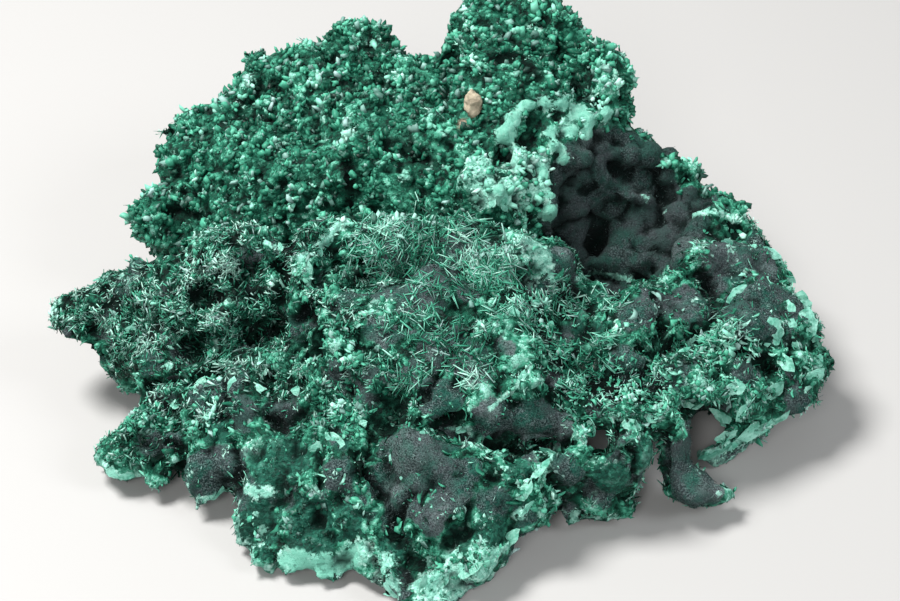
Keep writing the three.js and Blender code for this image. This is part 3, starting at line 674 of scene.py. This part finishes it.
ROUND = {"distance_metric": "DISTANCE_SQUARED"}
roughened(crust, "lobes", "VORONOI", 0.0052, -0.0016, "lobed", 0.2, **ROUND)
roughened(crust, "velvet_knobs", "VORONOI", 0.0038, -0.0024, "knobbly", 0.25, **ROUND)
roughened(crust, "lumps", "VORONOI", 0.0027, -0.0017, "lumpy", 0.3, **ROUND)
roughened(crust, "crystal_points", "VORONOI", 0.0015, -0.0012, "lumpy", 0.4)
roughened(crust, "crystal_lumps", "VORONOI", 0.0027, -0.0015, "grain", 0.25, **ROUND)
roughened(crust, "crystal_grains", "VORONOI", 0.0016, -0.0009, "grain", 0.3, **ROUND)
roughened(crust, "tufts", "CLOUDS", 0.0015, 0.0013, "felt", noise_depth=1)
roughened(crust, "broken_rims", "CLOUDS", 0.0013, 0.0008, "mint", 0.35, noise_depth=1)
roughened(crust, "fine_pits", "CLOUDS", 0.0008, 0.0003, noise_depth=1)

BOX_SLACK = 0.0008
lowest, highest = np.array(cad_box[0]), np.array(cad_box[1])
crust_points = np.clip(vectors_of(crust, "co"), lowest - BOX_SLACK, highest + BOX_SLACK)
crust_points[:, 2] = np.maximum(crust_points[:, 2], 0)
set_points(crust, crust_points)
crust_normals = vectors_of(crust, "normal")
# Creases and hollows of the crust are measured here for painted shade: the skin and the crystals in them are
# painted darker.
proud = ((crust_points - relaxed(crust_points, 16)) * crust_normals).sum(1)
crest = smooth_step(proud, 0.00008, 0.00042)
crease_shade = smooth_step(-proud, 0.00005, 0.00045)
hollow = ((relaxed(crust_points, 140) - crust_points) * crust_normals).sum(1)
hollow_shade = smooth_step(hollow, 0.0003, 0.0016)


def keep_colour(piece, name, *columns):
    """Stores up to three numbers for each vertex."""
    table = np.zeros((len(piece.data.vertices), 4), np.float32)
    for index, column in enumerate(columns):
        table[:, index] = column
    attribute = piece.data.attributes.new(name, "FLOAT_COLOR", "POINT")
    attribute.data.foreach_set("color", table.ravel())


# Painted shade: near black in the crevices and on the shaded spots, dark in creases and hollows, in the gaps
# under the felted needles away from crests, and on the ground under the net at the right.
shade = np.maximum.reduce([
    deep_shade, 0.95 * crease_shade, 0.8 * hollow_shade * (1 - 0.5 * np.maximum(calm, pocket)), 0.6 * felt * (1 - crest),
    black_ground * clear_of(0.5 * crest, mint),
])
keep_colour(crust, "mint_velvet_shade", mint, velvet, shade)
keep_colour(crust, "silky_crest", silky, crest)
keep_colour(crust, "emerald_felt_pocket", emerald, np.clip(felt + net, 0, 1), pocket)
keep_colour(crust, "stain_even", stain, even_skin)

skin = Finish("velvet_and_silky_skin")
mint_share, velvet_share, shade_share = skin.channels("mint_velvet_shade")
silky_share, crest_share, _ = skin.channels("silky_crest")
emerald_share, felt_share, pocket_share = skin.channels("emerald_felt_pocket")
stain_share, even_share, _ = skin.channels("stain_even")
speckle = skin.grain(0.00022, 3, 0.7)
mottle = skin.grain(0.0011, 3, 0.62)
streak = skin.grain(0.0028, 2, 0.5)
cloud = skin.grain(0.006, 2, 0.5)
crystal_middle, crystal_chance = skin.cells(0.00085)
_, speck_chance = skin.cells(0.00042)
broken = (crystal_chance + speck_chance) * 0.3 - 0.3
tone = crystal_chance * 0.42 + speck_chance * 0.26 + streak.clamped(0.3, 0.7) * 0.36 + crest_share * 0.32
# The skin under the felt and the nets is painted darker, as painted shade in the gaps between the needles.
tone = tone + silky_share * 0.3 - felt_share * 0.35 - 0.14
green = skin.shades(
    mottle * 0.7 + speck_chance * 0.35 + speckle * 0.4, (0.002, 0.018, 0.013),
    (0.45, 0.85, (0.01, 0.088, 0.06)), (0.88, 1.08, (0.06, 0.24, 0.18))
)
pile = skin.layered(
    (0.012, 0.025, 0.025), (speckle.clamped(0.46, 0.62), (0.12, 0.18, 0.175)),
    (streak.clamped(0.46, 0.6) * speckle.clamped(0.3, 0.6) * 0.8, (0.012, 0.1, 0.07)),
    (mottle.clamped(0.5, 0.62) * 0.6, (0.012, 0.085, 0.062)),
    (cloud.clamped(0.45, 0.6) * 0.4, (0.075, 0.078, 0.09)),
    (pocket_share * 0.5, (0.02, 0.027, 0.028)),
    (silky_share * speckle.clamped(0.3, 0.6) * 0.55, (0.19, 0.235, 0.24))
)
pale = skin.shades(
    speck_chance * 0.4 + crystal_chance * 0.3 + mottle * 0.8, (0.07, 0.3, 0.22),
    (0.35, 0.85, (0.24, 0.54, 0.44)), (0.85, 1.2, (0.48, 0.76, 0.67))
)
pale = skin.layered(pale, (even_share * mottle.clamped(0.2, 0.5) * 0.9, (0.12, 0.37, 0.28)))
colour = skin.shades(
    tone, (0.001, 0.012, 0.008), (0.1, 0.45, (0.005, 0.085, 0.05)), (0.45, 0.72, (0.06, 0.3, 0.2)),
    (0.72, 1.05, (0.3, 0.62, 0.52))
)
velvet_part = (velvet_share + broken * 0.6).clamped(0.35, 0.6)
# The shade share lays a near-black colour over the skin, as painted shade.
colour = skin.layered(
    colour, ((emerald_share - broken).clamped(0.4, 0.6) * 0.85, green), (velvet_part, pile),
    ((mint_share + broken * 1.5).clamped(0.4, 0.8), pale), (shade_share * 0.95, (0.0005, 0.0025, 0.002)),
    (stain_share * mottle.clamped(0.3, 0.6), (0.36, 0.26, 0.2))
)
facets = (crystal_chance * 0.5 + speck_chance * 0.25 - crystal_middle * 0.6) * (1.0 - even_share * 0.85)
facet_bump = skin.bump(speckle * 0.3 + facets, 0.0006)
crystal = skin.surface(Base_Color=colour, Roughness=0.5, Normal=facet_bump, Specular_IOR_Level=0.14)
plush = skin.surface(
    Base_Color=colour, Roughness=0.9, Normal=skin.bump(speckle + mottle * 0.5, 0.0004),
    Specular_IOR_Level=0.03, Sheen_Weight=0.03, Sheen_Roughness=0.4, Sheen_Tint=(0.7, 0.68, 0.72, 1)
)
matt_part = velvet_part.math("MAXIMUM", shade_share)
both = skin.node("ShaderNodeMixShader", sockets={0: matt_part, 1: crystal, 2: plush})
crust.data.materials.append(skin.finish(both))
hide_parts("malachite_crust")
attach(crust, "root")

# Felted needles
# Short twisted blades of malachite, a millimetre or so long, felted over the left arm, the hollows between
# the lobes and parts of the far sides. Each grew out of the crust and is buried in it at its root.
rng = np.random.default_rng(7)
crust.data.calc_loop_triangles()
triangles = vertices_of(crust.data.loop_triangles, 3)
corners = crust_points[triangles]
face_cross = np.cross(corners[:, 1] - corners[:, 0], corners[:, 2] - corners[:, 0])
face_area = np.linalg.norm(face_cross, axis=1) / 2
smooth_out = unit(relaxed(crust_normals, 5))
off_floor = smooth_step(crust_points[:, 2], 0.0008, 0.0035)
clump = smooth_step(wobble(0.0024, 21) + 0.5 * ragged, -0.35, 0.45)
patchy = wobble(0.0042, 23) + 0.7 * wobble(0.0016, 24)
edge_on = 1 - smooth_step(np.abs(smooth_out @ np.array(BACKWARD)), 0.1, 0.45)
low_side = np.maximum(clear_of(hidden, smooth_step(crust_normals[:, 2], 0.0, 0.45)), edge_on)
FLAT_BOTTOM = 0.0003


def sprays(roots, each, weight, leans, lengths, slender, fan=0.6, buried=0.12):
    """Places for needles in sprays of that many on each root, denser where the crust's vertices weigh more.

    Leans are in degrees from upright and lengths in millimetres. Slender is the width and buried the depth of
    the root, as shares of the length, and fan is how far a spray spreads, in radians. It gives each needle's
    vertex, its stance, which is its place and the ways along and across it, and its size and tone."""
    share = face_area * weight[triangles].mean(1)
    share = np.where(crust_points[triangles, 2].max(1) < FLAT_BOTTOM, 0, share)
    chosen = rng.choice(len(triangles), roots, p=share / share.sum())
    a, b = rng.random((2, roots, 1))
    flip = a + b > 1
    a, b = np.where(flip, 1 - a, a), np.where(flip, 1 - b, b)
    first, second, last = corners[chosen].transpose(1, 0, 2)
    root = first + a * (second - first) + b * (last - first)
    repeat = np.repeat(np.arange(roots), each)
    count = len(repeat)
    vertex = triangles[chosen, 0][repeat]
    out = smooth_out[vertex]
    level = unit(np.cross(out, np.repeat(rng.normal(size=(roots, 3)), each, axis=0)))
    turn = rng.normal(0, fan, count)[:, None]
    side = np.cos(turn) * level + np.sin(turn) * np.cross(out, level)
    lean = np.radians(rng.uniform(*leans, count))[:, None]
    along = unit(np.cos(lean) * out + np.sin(lean) * side)
    across = unit(np.cross(along, out + 0.5 * rng.normal(size=(count, 3))))
    length = 0.001 * rng.uniform(*lengths, count) * np.repeat(rng.uniform(0.75, 1.25, roots), each)
    width = length * slender * rng.uniform(0.7, 1.5, count)
    spread = rng.normal(size=(count, 1)) * side + rng.normal(size=(count, 1)) * np.cross(out, side)
    at = root[repeat] + length[:, None] * (0.22 * spread - buried * along)
    tone = np.repeat(rng.normal(0, 0.1, roots), each) + rng.normal(0, 0.11, count) + 0.44 * patchy[vertex]
    return vertex, (at, along, across), np.stack([width, 0.6 * width, length], 1), tone


def fresh(operator, **shape):
    """A new primitive at the origin, and nothing else selected."""
    bpy.ops.object.select_all(action="DESELECT")
    operator(location=(0, 0, 0), **shape)
    return bpy.context.object


def form_of(piece, kinds=1, unevenness=0.0):
    """The points and triangles of a form that is modelled once and copied many times, in uneven kinds."""
    modified(piece, "TRIANGULATE")
    points = vectors_of(piece, "co")
    faces = np.array([list(face.vertices) for face in piece.data.polygons])
    bpy.data.objects.remove(piece)
    return points * (1 + unevenness * rng.uniform(-1, 1, (kinds, *points.shape))), faces


def strewn(name, form, stance, size, tone, finish):
    """Copies of one form, joined in one mesh. Each keeps its tone, height and chance for the finish."""
    kinds, faces = form
    at, along, across = stance
    count, corner_count = len(at), kinds.shape[1]
    own = kinds[rng.integers(len(kinds), size=count)]
    ways = np.stack([across, np.cross(along, across), along], 1)
    placed = (at[:, None] + own * size[:, None] @ ways).reshape(-1, 3)
    placed = np.clip(placed, lowest - 1.3 * BOX_SLACK, highest + 1.3 * BOX_SLACK)
    placed[:, 2] = np.maximum(placed[:, 2], 0)
    all_faces = (faces + corner_count * np.arange(count)[:, None, None]).reshape(-1, 3)
    mesh = bpy.data.meshes.new(name)
    mesh.from_pydata(placed.tolist(), [], all_faces.tolist(), shade_flat=False)
    mesh.validate()
    piece = bpy.data.objects.new(name, mesh)
    bpy.context.collection.objects.link(piece)
    height = (own[..., 2] - kinds[..., 2].min()) / np.ptp(kinds[..., 2])
    each_tone = np.repeat(np.clip(tone, 0, 1), corner_count)
    grey = np.repeat(rng.random(count), corner_count)
    keep_colour(piece, "tone_height_grey", each_tone, height.ravel(), grey)
    piece.data.materials.append(finish)
    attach(piece, "root")
    return piece


needle_finish = Finish("silky_needles")
needle_tone, needle_height, needle_grey = needle_finish.channels("tone_height_grey")
needle_colour = needle_finish.shades(
    needle_tone, (0.001, 0.013, 0.008), (0, 0.4, (0.008, 0.1, 0.06)), (0.4, 0.68, (0.06, 0.32, 0.21)),
    (0.68, 0.85, (0.21, 0.52, 0.41)), (0.85, 1.05, (0.42, 0.68, 0.59))
)
greyed = needle_grey.clamped(0.8, 0.9) * needle_tone
# Each needle is painted darker towards its root, as painted shade among the needles.
needle_colour = needle_finish.layered(
    needle_colour, (greyed, (0.26, 0.38, 0.37)), (0.45 - needle_height * 1.1, (0.001, 0.014, 0.009))
)
silky_needles = needle_finish.finish(Base_Color=needle_colour, Roughness=0.45, Specular_IOR_Level=0.2)

BLADE_CORNERS = [(-0.5, 0, 0), (0.5, 0, 0), (-0.32, -0.25, 0.94), (0.35, 0.25, 1)]
blade = fresh(bpy.ops.mesh.primitive_cone_add, vertices=3, radius1=0.5, depth=1, end_fill_type="NGON")
set_points(blade, np.array(BLADE_CORNERS))
edited(blade, bpy.ops.mesh.normals_make_consistent, inside=False)
short_blade = form_of(blade, 6, 0.25)

felt_weight = felt * (0.15 + clump) * off_floor
vertex, stance, size, tone = sprays(
    roots=9000, each=4, weight=felt_weight, leans=(62, 90), lengths=(0.6, 1.5), slender=0.17
)
# Felted needles in hollows are painted darker, as painted shade.
tone = 1.6 * tone + (0.63 + 0.16 * crest + 0.2 * mint - 0.25 * hollow_shade)[vertex]
strewn("felted_needles", short_blade, stance, size, tone, silky_needles)

tuft_weight = tufted * clump ** 2 * (0.15 + crest) * off_floor * clear_of(smooth, 0.8 * low_side)
vertex, stance, size, tone = sprays(
    roots=1400, each=5, weight=tuft_weight, leans=(60, 90), lengths=(0.5, 1.2), slender=0.2
)
# Tufts in hollows are painted darker, as painted shade.
tone = 1.1 * tone + (0.46 + 0.1 * crest - 0.3 * hollow_shade)[vertex]
strewn("tufts_of_needles", short_blade, stance, size, tone, silky_needles)

# Crystal grit
# Shards and grains of malachite, about half a millimetre across. They grew on the crust in threes and fill
# its skin between the needles and the leaves.
shard = fresh(bpy.ops.mesh.primitive_cone_add, vertices=3, radius1=0.5, depth=0.9, end_fill_type="NGON")
grain_form = form_of(shard, 12, 0.35)

grain_weight = (0.25 + crest) * (0.3 + clump) * off_floor * clear_of(
    0.9 * velvet, pocket, 0.93 * bare, 0.6 * deep_shade, 0.5 * low_side, 0.65 * black_ground, 0.95 * rim_lumps
)
vertex, stance, size, tone = sprays(
    roots=15000, each=3, weight=grain_weight, leans=(30, 88), lengths=(0.25, 0.68), slender=0.62, fan=2
)
# Grit in hollows is painted darker, as painted shade.
lightness = 0.42 + 0.22 * mint - 0.22 * emerald + 0.12 * silky + 0.3 * velvet + 0.15 * crest - 0.3 * hollow_shade
strewn("crystal_grit", grain_form, stance, size, tone + lightness[vertex], silky_needles)

# Long needles
# Slender three-sided needles, one to two and a half millimetres long. They lie over one another in nets on
# the ridge and on the ledge at the right, over skin that is painted black as shade in the gaps between them.
needle = fresh(bpy.ops.mesh.primitive_cone_add, vertices=3, radius1=0.5, radius2=0.22, depth=1)
long_needle = form_of(needle)
long_needle[0][..., 2] += 0.5

vertex, stance, size, tone = sprays(
    roots=1500, each=3, weight=net * (0.04 + clump ** 2) * off_floor, leans=(68, 90), lengths=(1.0, 2.5),
    slender=0.115, fan=0.9
)
size[:, 2] *= 1 - 0.4 * black_ground[vertex]
PALE_NET_SPOTS = [(485, 256, 30), (510, 266, 30), (540, 268, 26), (470, 235, 20)]
# Long needles in hollows are painted darker, as painted shade.
tone = tone + (0.6 + 0.12 * patches(PALE_NET_SPOTS, 0.4) + 0.1 * black_ground - 0.25 * hollow_shade)[vertex]
strewn("long_needles", long_needle, stance, size, tone, silky_needles)

# Velvet pile
# Hair-fine needles up to half a millimetre long, which make the velvet of the domes and of the pocket. They
# grew close together and slant over one another.
pile_finish = Finish("velvet_pile")
pile_tone, _, _ = pile_finish.channels("tone_height_grey")
pile_colour = pile_finish.shades(
    pile_tone, (0.02, 0.034, 0.034), (0, 0.7, (0.1, 0.15, 0.145)), (0.66, 0.95, (0.26, 0.42, 0.38))
)
velvet_pile = pile_finish.finish(Base_Color=pile_colour, Roughness=0.7, Specular_IOR_Level=0.12)
pile_weight = velvet * clear_of(0.5 * pocket, mint, rear)
vertex, stance, size, tone = sprays(
    roots=8000, each=3, weight=pile_weight, leans=(50, 90), lengths=(0.22, 0.5), slender=0.2, fan=2
)
tone = tone + (0.36 - 0.3 * pocket + 0.2 * silky)[vertex]
strewn("velvet_pile", short_blade, stance, size, tone, velvet_pile)

# Leaf crystals
# Thin irregular flakes of malachite, about a millimetre across, that lie over the lumps between the velvet
# domes like scales. Curled leaves of one or two millimetres stand among them. All grew out of the crust.
flake = fresh(
    bpy.ops.mesh.primitive_cone_add, vertices=5, radius1=0.5, radius2=0.42, depth=0.1,
    rotation=(math.pi / 2, 0, 0)
)
bpy.ops.object.transform_apply(rotation=True)
flake_form = form_of(flake, 12, 0.42)
flake_form[0][..., 2] += 0.45

LEAF_SPOTS = [
    (210, 418, 26), (332, 425, 24), (355, 500, 18), (260, 525, 16, 0.6), (150, 425, 26), (375, 380, 26),
    (330, 350, 24), (700, 385, 30), (735, 395, 22), (640, 412, 24), (590, 430, 18), (715, 345, 20),
    (750, 270, 16), (690, 235, 18), (620, 335, 14), (555, 330, 14), (540, 495, 22), (450, 555, 24, 0.6),
    (480, 560, 18, 0.6), (340, 400, 26),
]
flake_weight = tufted * clump * (0.1 + 0.4 * crest) + patches(LEAF_SPOTS, 0.4)
flake_weight = flake_weight + 0.2 * mint * (1 - rear) + 0.06 * net + 0.05 * felt
flake_weight = flake_weight * off_floor * clear_of(
    0.9 * deep_shade, pocket, 0.9 * velvet, 0.8 * low_side, 0.6 * smooth, 0.6 * emerald, bare
)
vertex, stance, size, tone = sprays(
    roots=1100, each=3, weight=flake_weight, leans=(55, 90), lengths=(0.45, 1.3), slender=0.65
)
size[:, 1] = size[:, 2]
# Flakes in hollows are painted darker, as painted shade.
tone = tone + (0.46 + 0.2 * mint + 0.12 * crest - 0.3 * hollow_shade)[vertex]
strewn("leaf_crystals", flake_form, stance, size, tone, silky_needles)

curl = fresh(bpy.ops.mesh.primitive_grid_add, x_subdivisions=3, y_subdivisions=1, size=1)
length_wise, width_wise = vectors_of(curl, "co")[:, :2].T
bow = 0.22 * (1 - 4 * length_wise ** 2)
taper = 1 - 2.2 * length_wise ** 2
set_points(curl, np.stack([width_wise * taper + 0.9 * bow, bow + 0.15 * width_wise, length_wise + 0.4], 1))
modified(curl, "SOLIDIFY", thickness=0.05, offset=0)
curl_form = form_of(curl, 6, 0.2)

curl_weight = 0.6 * tufted * crest + 0.4 * emerald * crest + 0.14 * velvet * (1 - pocket) + 1.1 * black_ground
curl_weight = curl_weight * off_floor * clear_of(0.5 * hidden, deep_shade, bare, 0.8 * low_side, 0.7 * smooth)
vertex, stance, size, tone = sprays(
    roots=2200, each=1, weight=curl_weight, leans=(70, 96), lengths=(0.8, 1.9), slender=0.24
)
size[:, 1] = size[:, 2]
# Curled leaves in hollows are painted darker, as painted shade.
tone = np.minimum(0.8 * tone + 0.6 + 0.12 * black_ground[vertex], 0.92) - 0.25 * hollow_shade[vertex]
strewn("curled_leaves", curl_form, stance, size, tone, silky_needles)

# Blocky crystals of the rear mass
# Stubby five-sided crystals of malachite, about a millimetre long, with slanting ends. They grew in pairs all
# over the highest part and are buried in it at their roots.
block = fresh(bpy.ops.mesh.primitive_cone_add, vertices=5, radius1=0.5, radius2=0.4, depth=1)
points = vectors_of(block, "co")
points[:, 2] += 0.5 + 0.35 * points[:, 0] * (points[:, 2] > 0)
set_points(block, points)
block_form = form_of(block, 9, 0.2)

block_weight = rear * (0.35 + crest) * clear_of(0.5 * deep_shade, 0.25 * mint, rim_lumps, stain)
vertex, stance, size, tone = sprays(
    roots=4200, each=2, weight=block_weight, leans=(10, 80), lengths=(0.6, 1.35), slender=0.66, fan=2,
    buried=0.27
)
size[:, 1] = 0.75 * size[:, 0]
# Blocks in hollows and on the deep-shade spots are painted darker, as painted shade.
lightness = 0.44 + 0.4 * mint + 0.35 * wobble(0.003, 31) + 0.12 * crest - 0.3 * hollow_shade - 0.35 * deep_shade
strewn("blocky_crystals", block_form, stance, size, 0.75 * tone + lightness[vertex], silky_needles)

# Mint plates
# Where the crust is broken through, its layers show as leaf-like plates of pale, silky malachite with fine
# fibres. They stand along the rims and on the ledge at the right like shingles, each rooted in the crust.
banded = Finish("banded_mint")
plate_tone, plate_height, plate_chance = banded.channels("tone_height_grey")
fibre_place = banded.node(
    "ShaderNodeCombineXYZ", sockets={0: plate_height * 9, 1: plate_chance * 90, 2: plate_tone * 9}
)
fibres = banded.node("ShaderNodeTexNoise", sockets={"Vector": fibre_place, "Scale": 1.0, "Detail": 3.0})
rim = ((plate_height - 0.5) * 2).math("ABSOLUTE")
banded_mottle = banded.grain(0.0009, 3, 0.6)
banded_cloud = banded.grain(0.0022, 2, 0.5)
bands = (plate_height * 19 + plate_tone * 20 + fibres * 2).math("SINE") * 0.5 + 0.5
banded_colour = banded.shades(
    fibres * 0.35 + banded_cloud * 0.65, (0.06, 0.3, 0.21), (0.35, 0.65, (0.27, 0.58, 0.48))
)
banded_colour = banded.layered(
    banded_colour, (bands * 0.06, (0.05, 0.26, 0.18)), (rim.clamped(0.6, 1.0) * 0.5, (0.4, 0.7, 0.6)),
    (0.6 - plate_tone * 1.2, (0.012, 0.13, 0.085)),
    (banded_mottle.clamped(0.5, 0.66) * 0.75, (0.015, 0.15, 0.095))
)
banded_bump = banded.bump(fibres * 0.3 + banded_mottle, 0.0003)
banded_mint = banded.finish(
    Base_Color=banded_colour, Roughness=0.4, Normal=banded_bump, Specular_IOR_Level=0.45
)

plate = fresh(bpy.ops.mesh.primitive_circle_add, vertices=9, radius=0.5, fill_type="TRIFAN")
edited(plate, bpy.ops.mesh.subdivide, number_cuts=1)
x, y = vectors_of(plate, "co")[:, :2].T
turned = np.arctan2(y, x)
uneven = 1 + 0.12 * np.sin(2 * turned + 1) + 0.1 * np.sin(5 * turned)
cupped = 0.55 * (x ** 2 + y ** 2) + 0.4 * x * y - 0.07
set_points(plate, np.stack([x * uneven, cupped, y * uneven], 1))
modified(plate, "SOLIDIFY", thickness=0.12, offset=0)
edited(plate, bpy.ops.mesh.normals_make_consistent, inside=False)
plate_form = form_of(plate, 9, 0.07)

# Plates that the photograph shows: pixel, length and width in pixels, and degrees from level.
PLATES = [
    (618, 325, 22, 13, 25), (738, 294, 28, 13, 42), (772, 250, 19, 9, -30), (788, 275, 20, 9, -50),
    (788, 312, 22, 15, 75), (776, 328, 22, 15, 110), (790, 328, 18, 12, 60), (803, 304, 24, 15, -80),
    (809, 322, 26, 16, -85), (812, 339, 22, 13, -70), (790, 345, 24, 16, -75), (786, 362, 20, 13, -60),
    (770, 340, 26, 14, 12), (815, 363, 22, 14, 20), (812, 379, 28, 13, 35), (768, 381, 30, 14, 12),
    (775, 392, 22, 16, 35), (690, 402, 26, 14, -10), (664, 398, 18, 11, 20), (676, 392, 16, 10, -35),
    (720, 411, 28, 16, -60), (736, 388, 18, 13, 0), (642, 422, 26, 18, 25), (656, 414, 22, 15, 10),
    (668, 406, 20, 13, 0), (631, 425, 18, 13, -40), (587, 427, 20, 15, -60), (578, 434, 16, 11, 60),
    (713, 424, 10, 6, -20), (716, 450, 34, 14, 30), (736, 441, 38, 14, 27), (756, 430, 34, 14, 30),
    (776, 418, 28, 14, 35), (726, 436, 22, 9, 20), (742, 414, 18, 11, 60), (512, 316, 17, 15, 80),
    (551, 326, 12, 8, 60), (456, 335, 20, 9, -15), (531, 388, 22, 7, 38), (505, 397, 20, 5, 32),
    (523, 374, 18, 5, 60), (566, 282, 16, 9, 75), (278, 250, 16, 9, 60), (268, 246, 12, 8, 100),
    (330, 441, 28, 18, -25), (318, 448, 18, 13, 10), (212, 346, 22, 11, -30), (136, 328, 20, 9, 10),
    (166, 367, 9, 6, 0), (357, 241, 10, 6, 80), (541, 468, 30, 10, 62), (524, 490, 22, 14, 50),
    (530, 510, 20, 13, 40), (508, 540, 26, 13, 35), (392, 590, 22, 10, -62), (325, 245, 18, 10, 35),
    (340, 229, 16, 9, 55), (308, 272, 18, 9, 80), (318, 254, 15, 9, 50), (536, 175, 16, 8, -70),
    (505, 205, 14, 9, -80), (492, 200, 14, 9, 80), (700, 338, 22, 6, 55), (690, 346, 22, 6, 65),
    (682, 352, 20, 6, 45), (708, 346, 18, 6, 75), (655, 366, 16, 8, 70), (664, 372, 16, 8, 120),
    (460, 430, 20, 7, 10), (520, 449, 30, 6, 2), (545, 452, 18, 7, -20), (120, 474, 26, 10, -15),
    (222, 496, 20, 9, 40), (395, 424, 8, 5, 0), (403, 478, 7, 5, 0), (422, 434, 8, 6, 40),
    (391, 457, 8, 5, 70), (200, 385, 18, 11, 60), (178, 402, 16, 10, 30), (262, 392, 18, 10, -50),
    (345, 412, 18, 11, 50), (360, 425, 14, 9, 20), (300, 390, 16, 10, 10), (232, 385, 15, 9, 70),
    (418, 440, 7, 5, 20), (440, 583, 22, 12, 40), (424, 588, 22, 12, 70), (470, 570, 26, 12, 20),
]
rows = []
for u, v, length, width, angle in PLATES:
    here, out_here, pixel = under_pixel(u, v)
    turn = math.radians(angle)
    run = math.cos(turn) * np.array((1, 0, 0)) + math.sin(turn) * np.array(UPWARD)
    rows.append((here, out_here, run, length * pixel, 1.15 * width * pixel))
at, out, run, length, width = (np.array(column) for column in zip(*rows))
count = len(rows)


def squared(ways, others):
    """The ways, turned square to the others."""
    return unit(ways - (ways * others).sum(1, keepdims=True) * others)


facing = unit(out + 0.8 * np.array(BACKWARD) + 0.2 * rng.normal(size=(count, 3)))
across = squared(run, facing)
tilt = np.radians(rng.uniform(6, 24, count) * rng.choice([-1, 1], count))[:, None]
along = unit(np.cos(tilt) * np.cross(facing, across) + np.sin(tilt) * facing)
size = np.stack([length, 0.5 * width, width], 1)
tone = rng.uniform(0.1, 0.75, count)
at = at - 0.08 * width[:, None] * facing

# Smaller plates lie by chance, most of them on the far sides. Their length runs across the spray's way.
stray_weight = hidden * (mint + 0.15 * tufted) + 0.015 * tufted * crest * (1 - smooth)
stray_weight = stray_weight * smooth_step(crust_normals[:, 2], -0.4, 0.0) * clear_of(low_side, pocket, rear)
vertex, (more_at, more_across, more_along), more_size, more_tone = sprays(
    roots=180, each=1, weight=stray_weight, leans=(60, 90), lengths=(1.2, 2.4), slender=0.5
)
more_along = unit(np.cross(more_across, more_along) + 0.5 * smooth_out[vertex])
more_along = squared(more_along, more_across)
stance = [np.concatenate(pair) for pair in ((at, more_at), (along, more_along), (across, more_across))]
size = np.concatenate([size, more_size[:, ::-1]])
plates = strewn("mint_plates", plate_form, stance, size, np.concatenate([tone, 0.5 + more_tone]), banded_mint)
bpy.ops.object.select_all(action="DESELECT")
plates.select_set(True)
bpy.context.view_layer.objects.active = plates
bpy.ops.object.shade_smooth_by_angle(angle=math.radians(50))

# Chip of host rock
# A tan chip of the sandstone that the malachite grew on. It is caught among the blocky crystals of the rear
# mass, which grew round it, and its broken sides are rough and grainy.
CHIP_VOXEL = 0.00022
chip = copy_of("host_rock_chip", "rough_chip_of_host_rock")
modified(chip, "REMESH", mode="VOXEL", voxel_size=CHIP_VOXEL, use_smooth_shade=True)
roughened(chip, "chip_breaks", "VORONOI", 0.0016, 0.0007)
roughened(chip, "chip_grains", "CLOUDS", 0.0006, 0.0004, noise_depth=2)
rock = Finish("tan_host_rock")
rock_mottle = rock.grain(0.0011, 4, 0.65)
rock_patch = rock.grain(0.003, 2, 0.5)
rock_colour = rock.shades(rock_mottle, (0.2, 0.165, 0.115), (0.35, 0.65, (0.38, 0.33, 0.24)))
rock_colour = rock.layered(rock_colour, (rock_patch.clamped(0.52, 0.66) * 0.7, (0.38, 0.25, 0.18)))
chip.data.materials.append(
    rock.finish(Base_Color=rock_colour, Roughness=0.85, Normal=rock.bump(rock_mottle, 0.0004))
)
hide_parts("host_rock_chip")
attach(chip, "root")
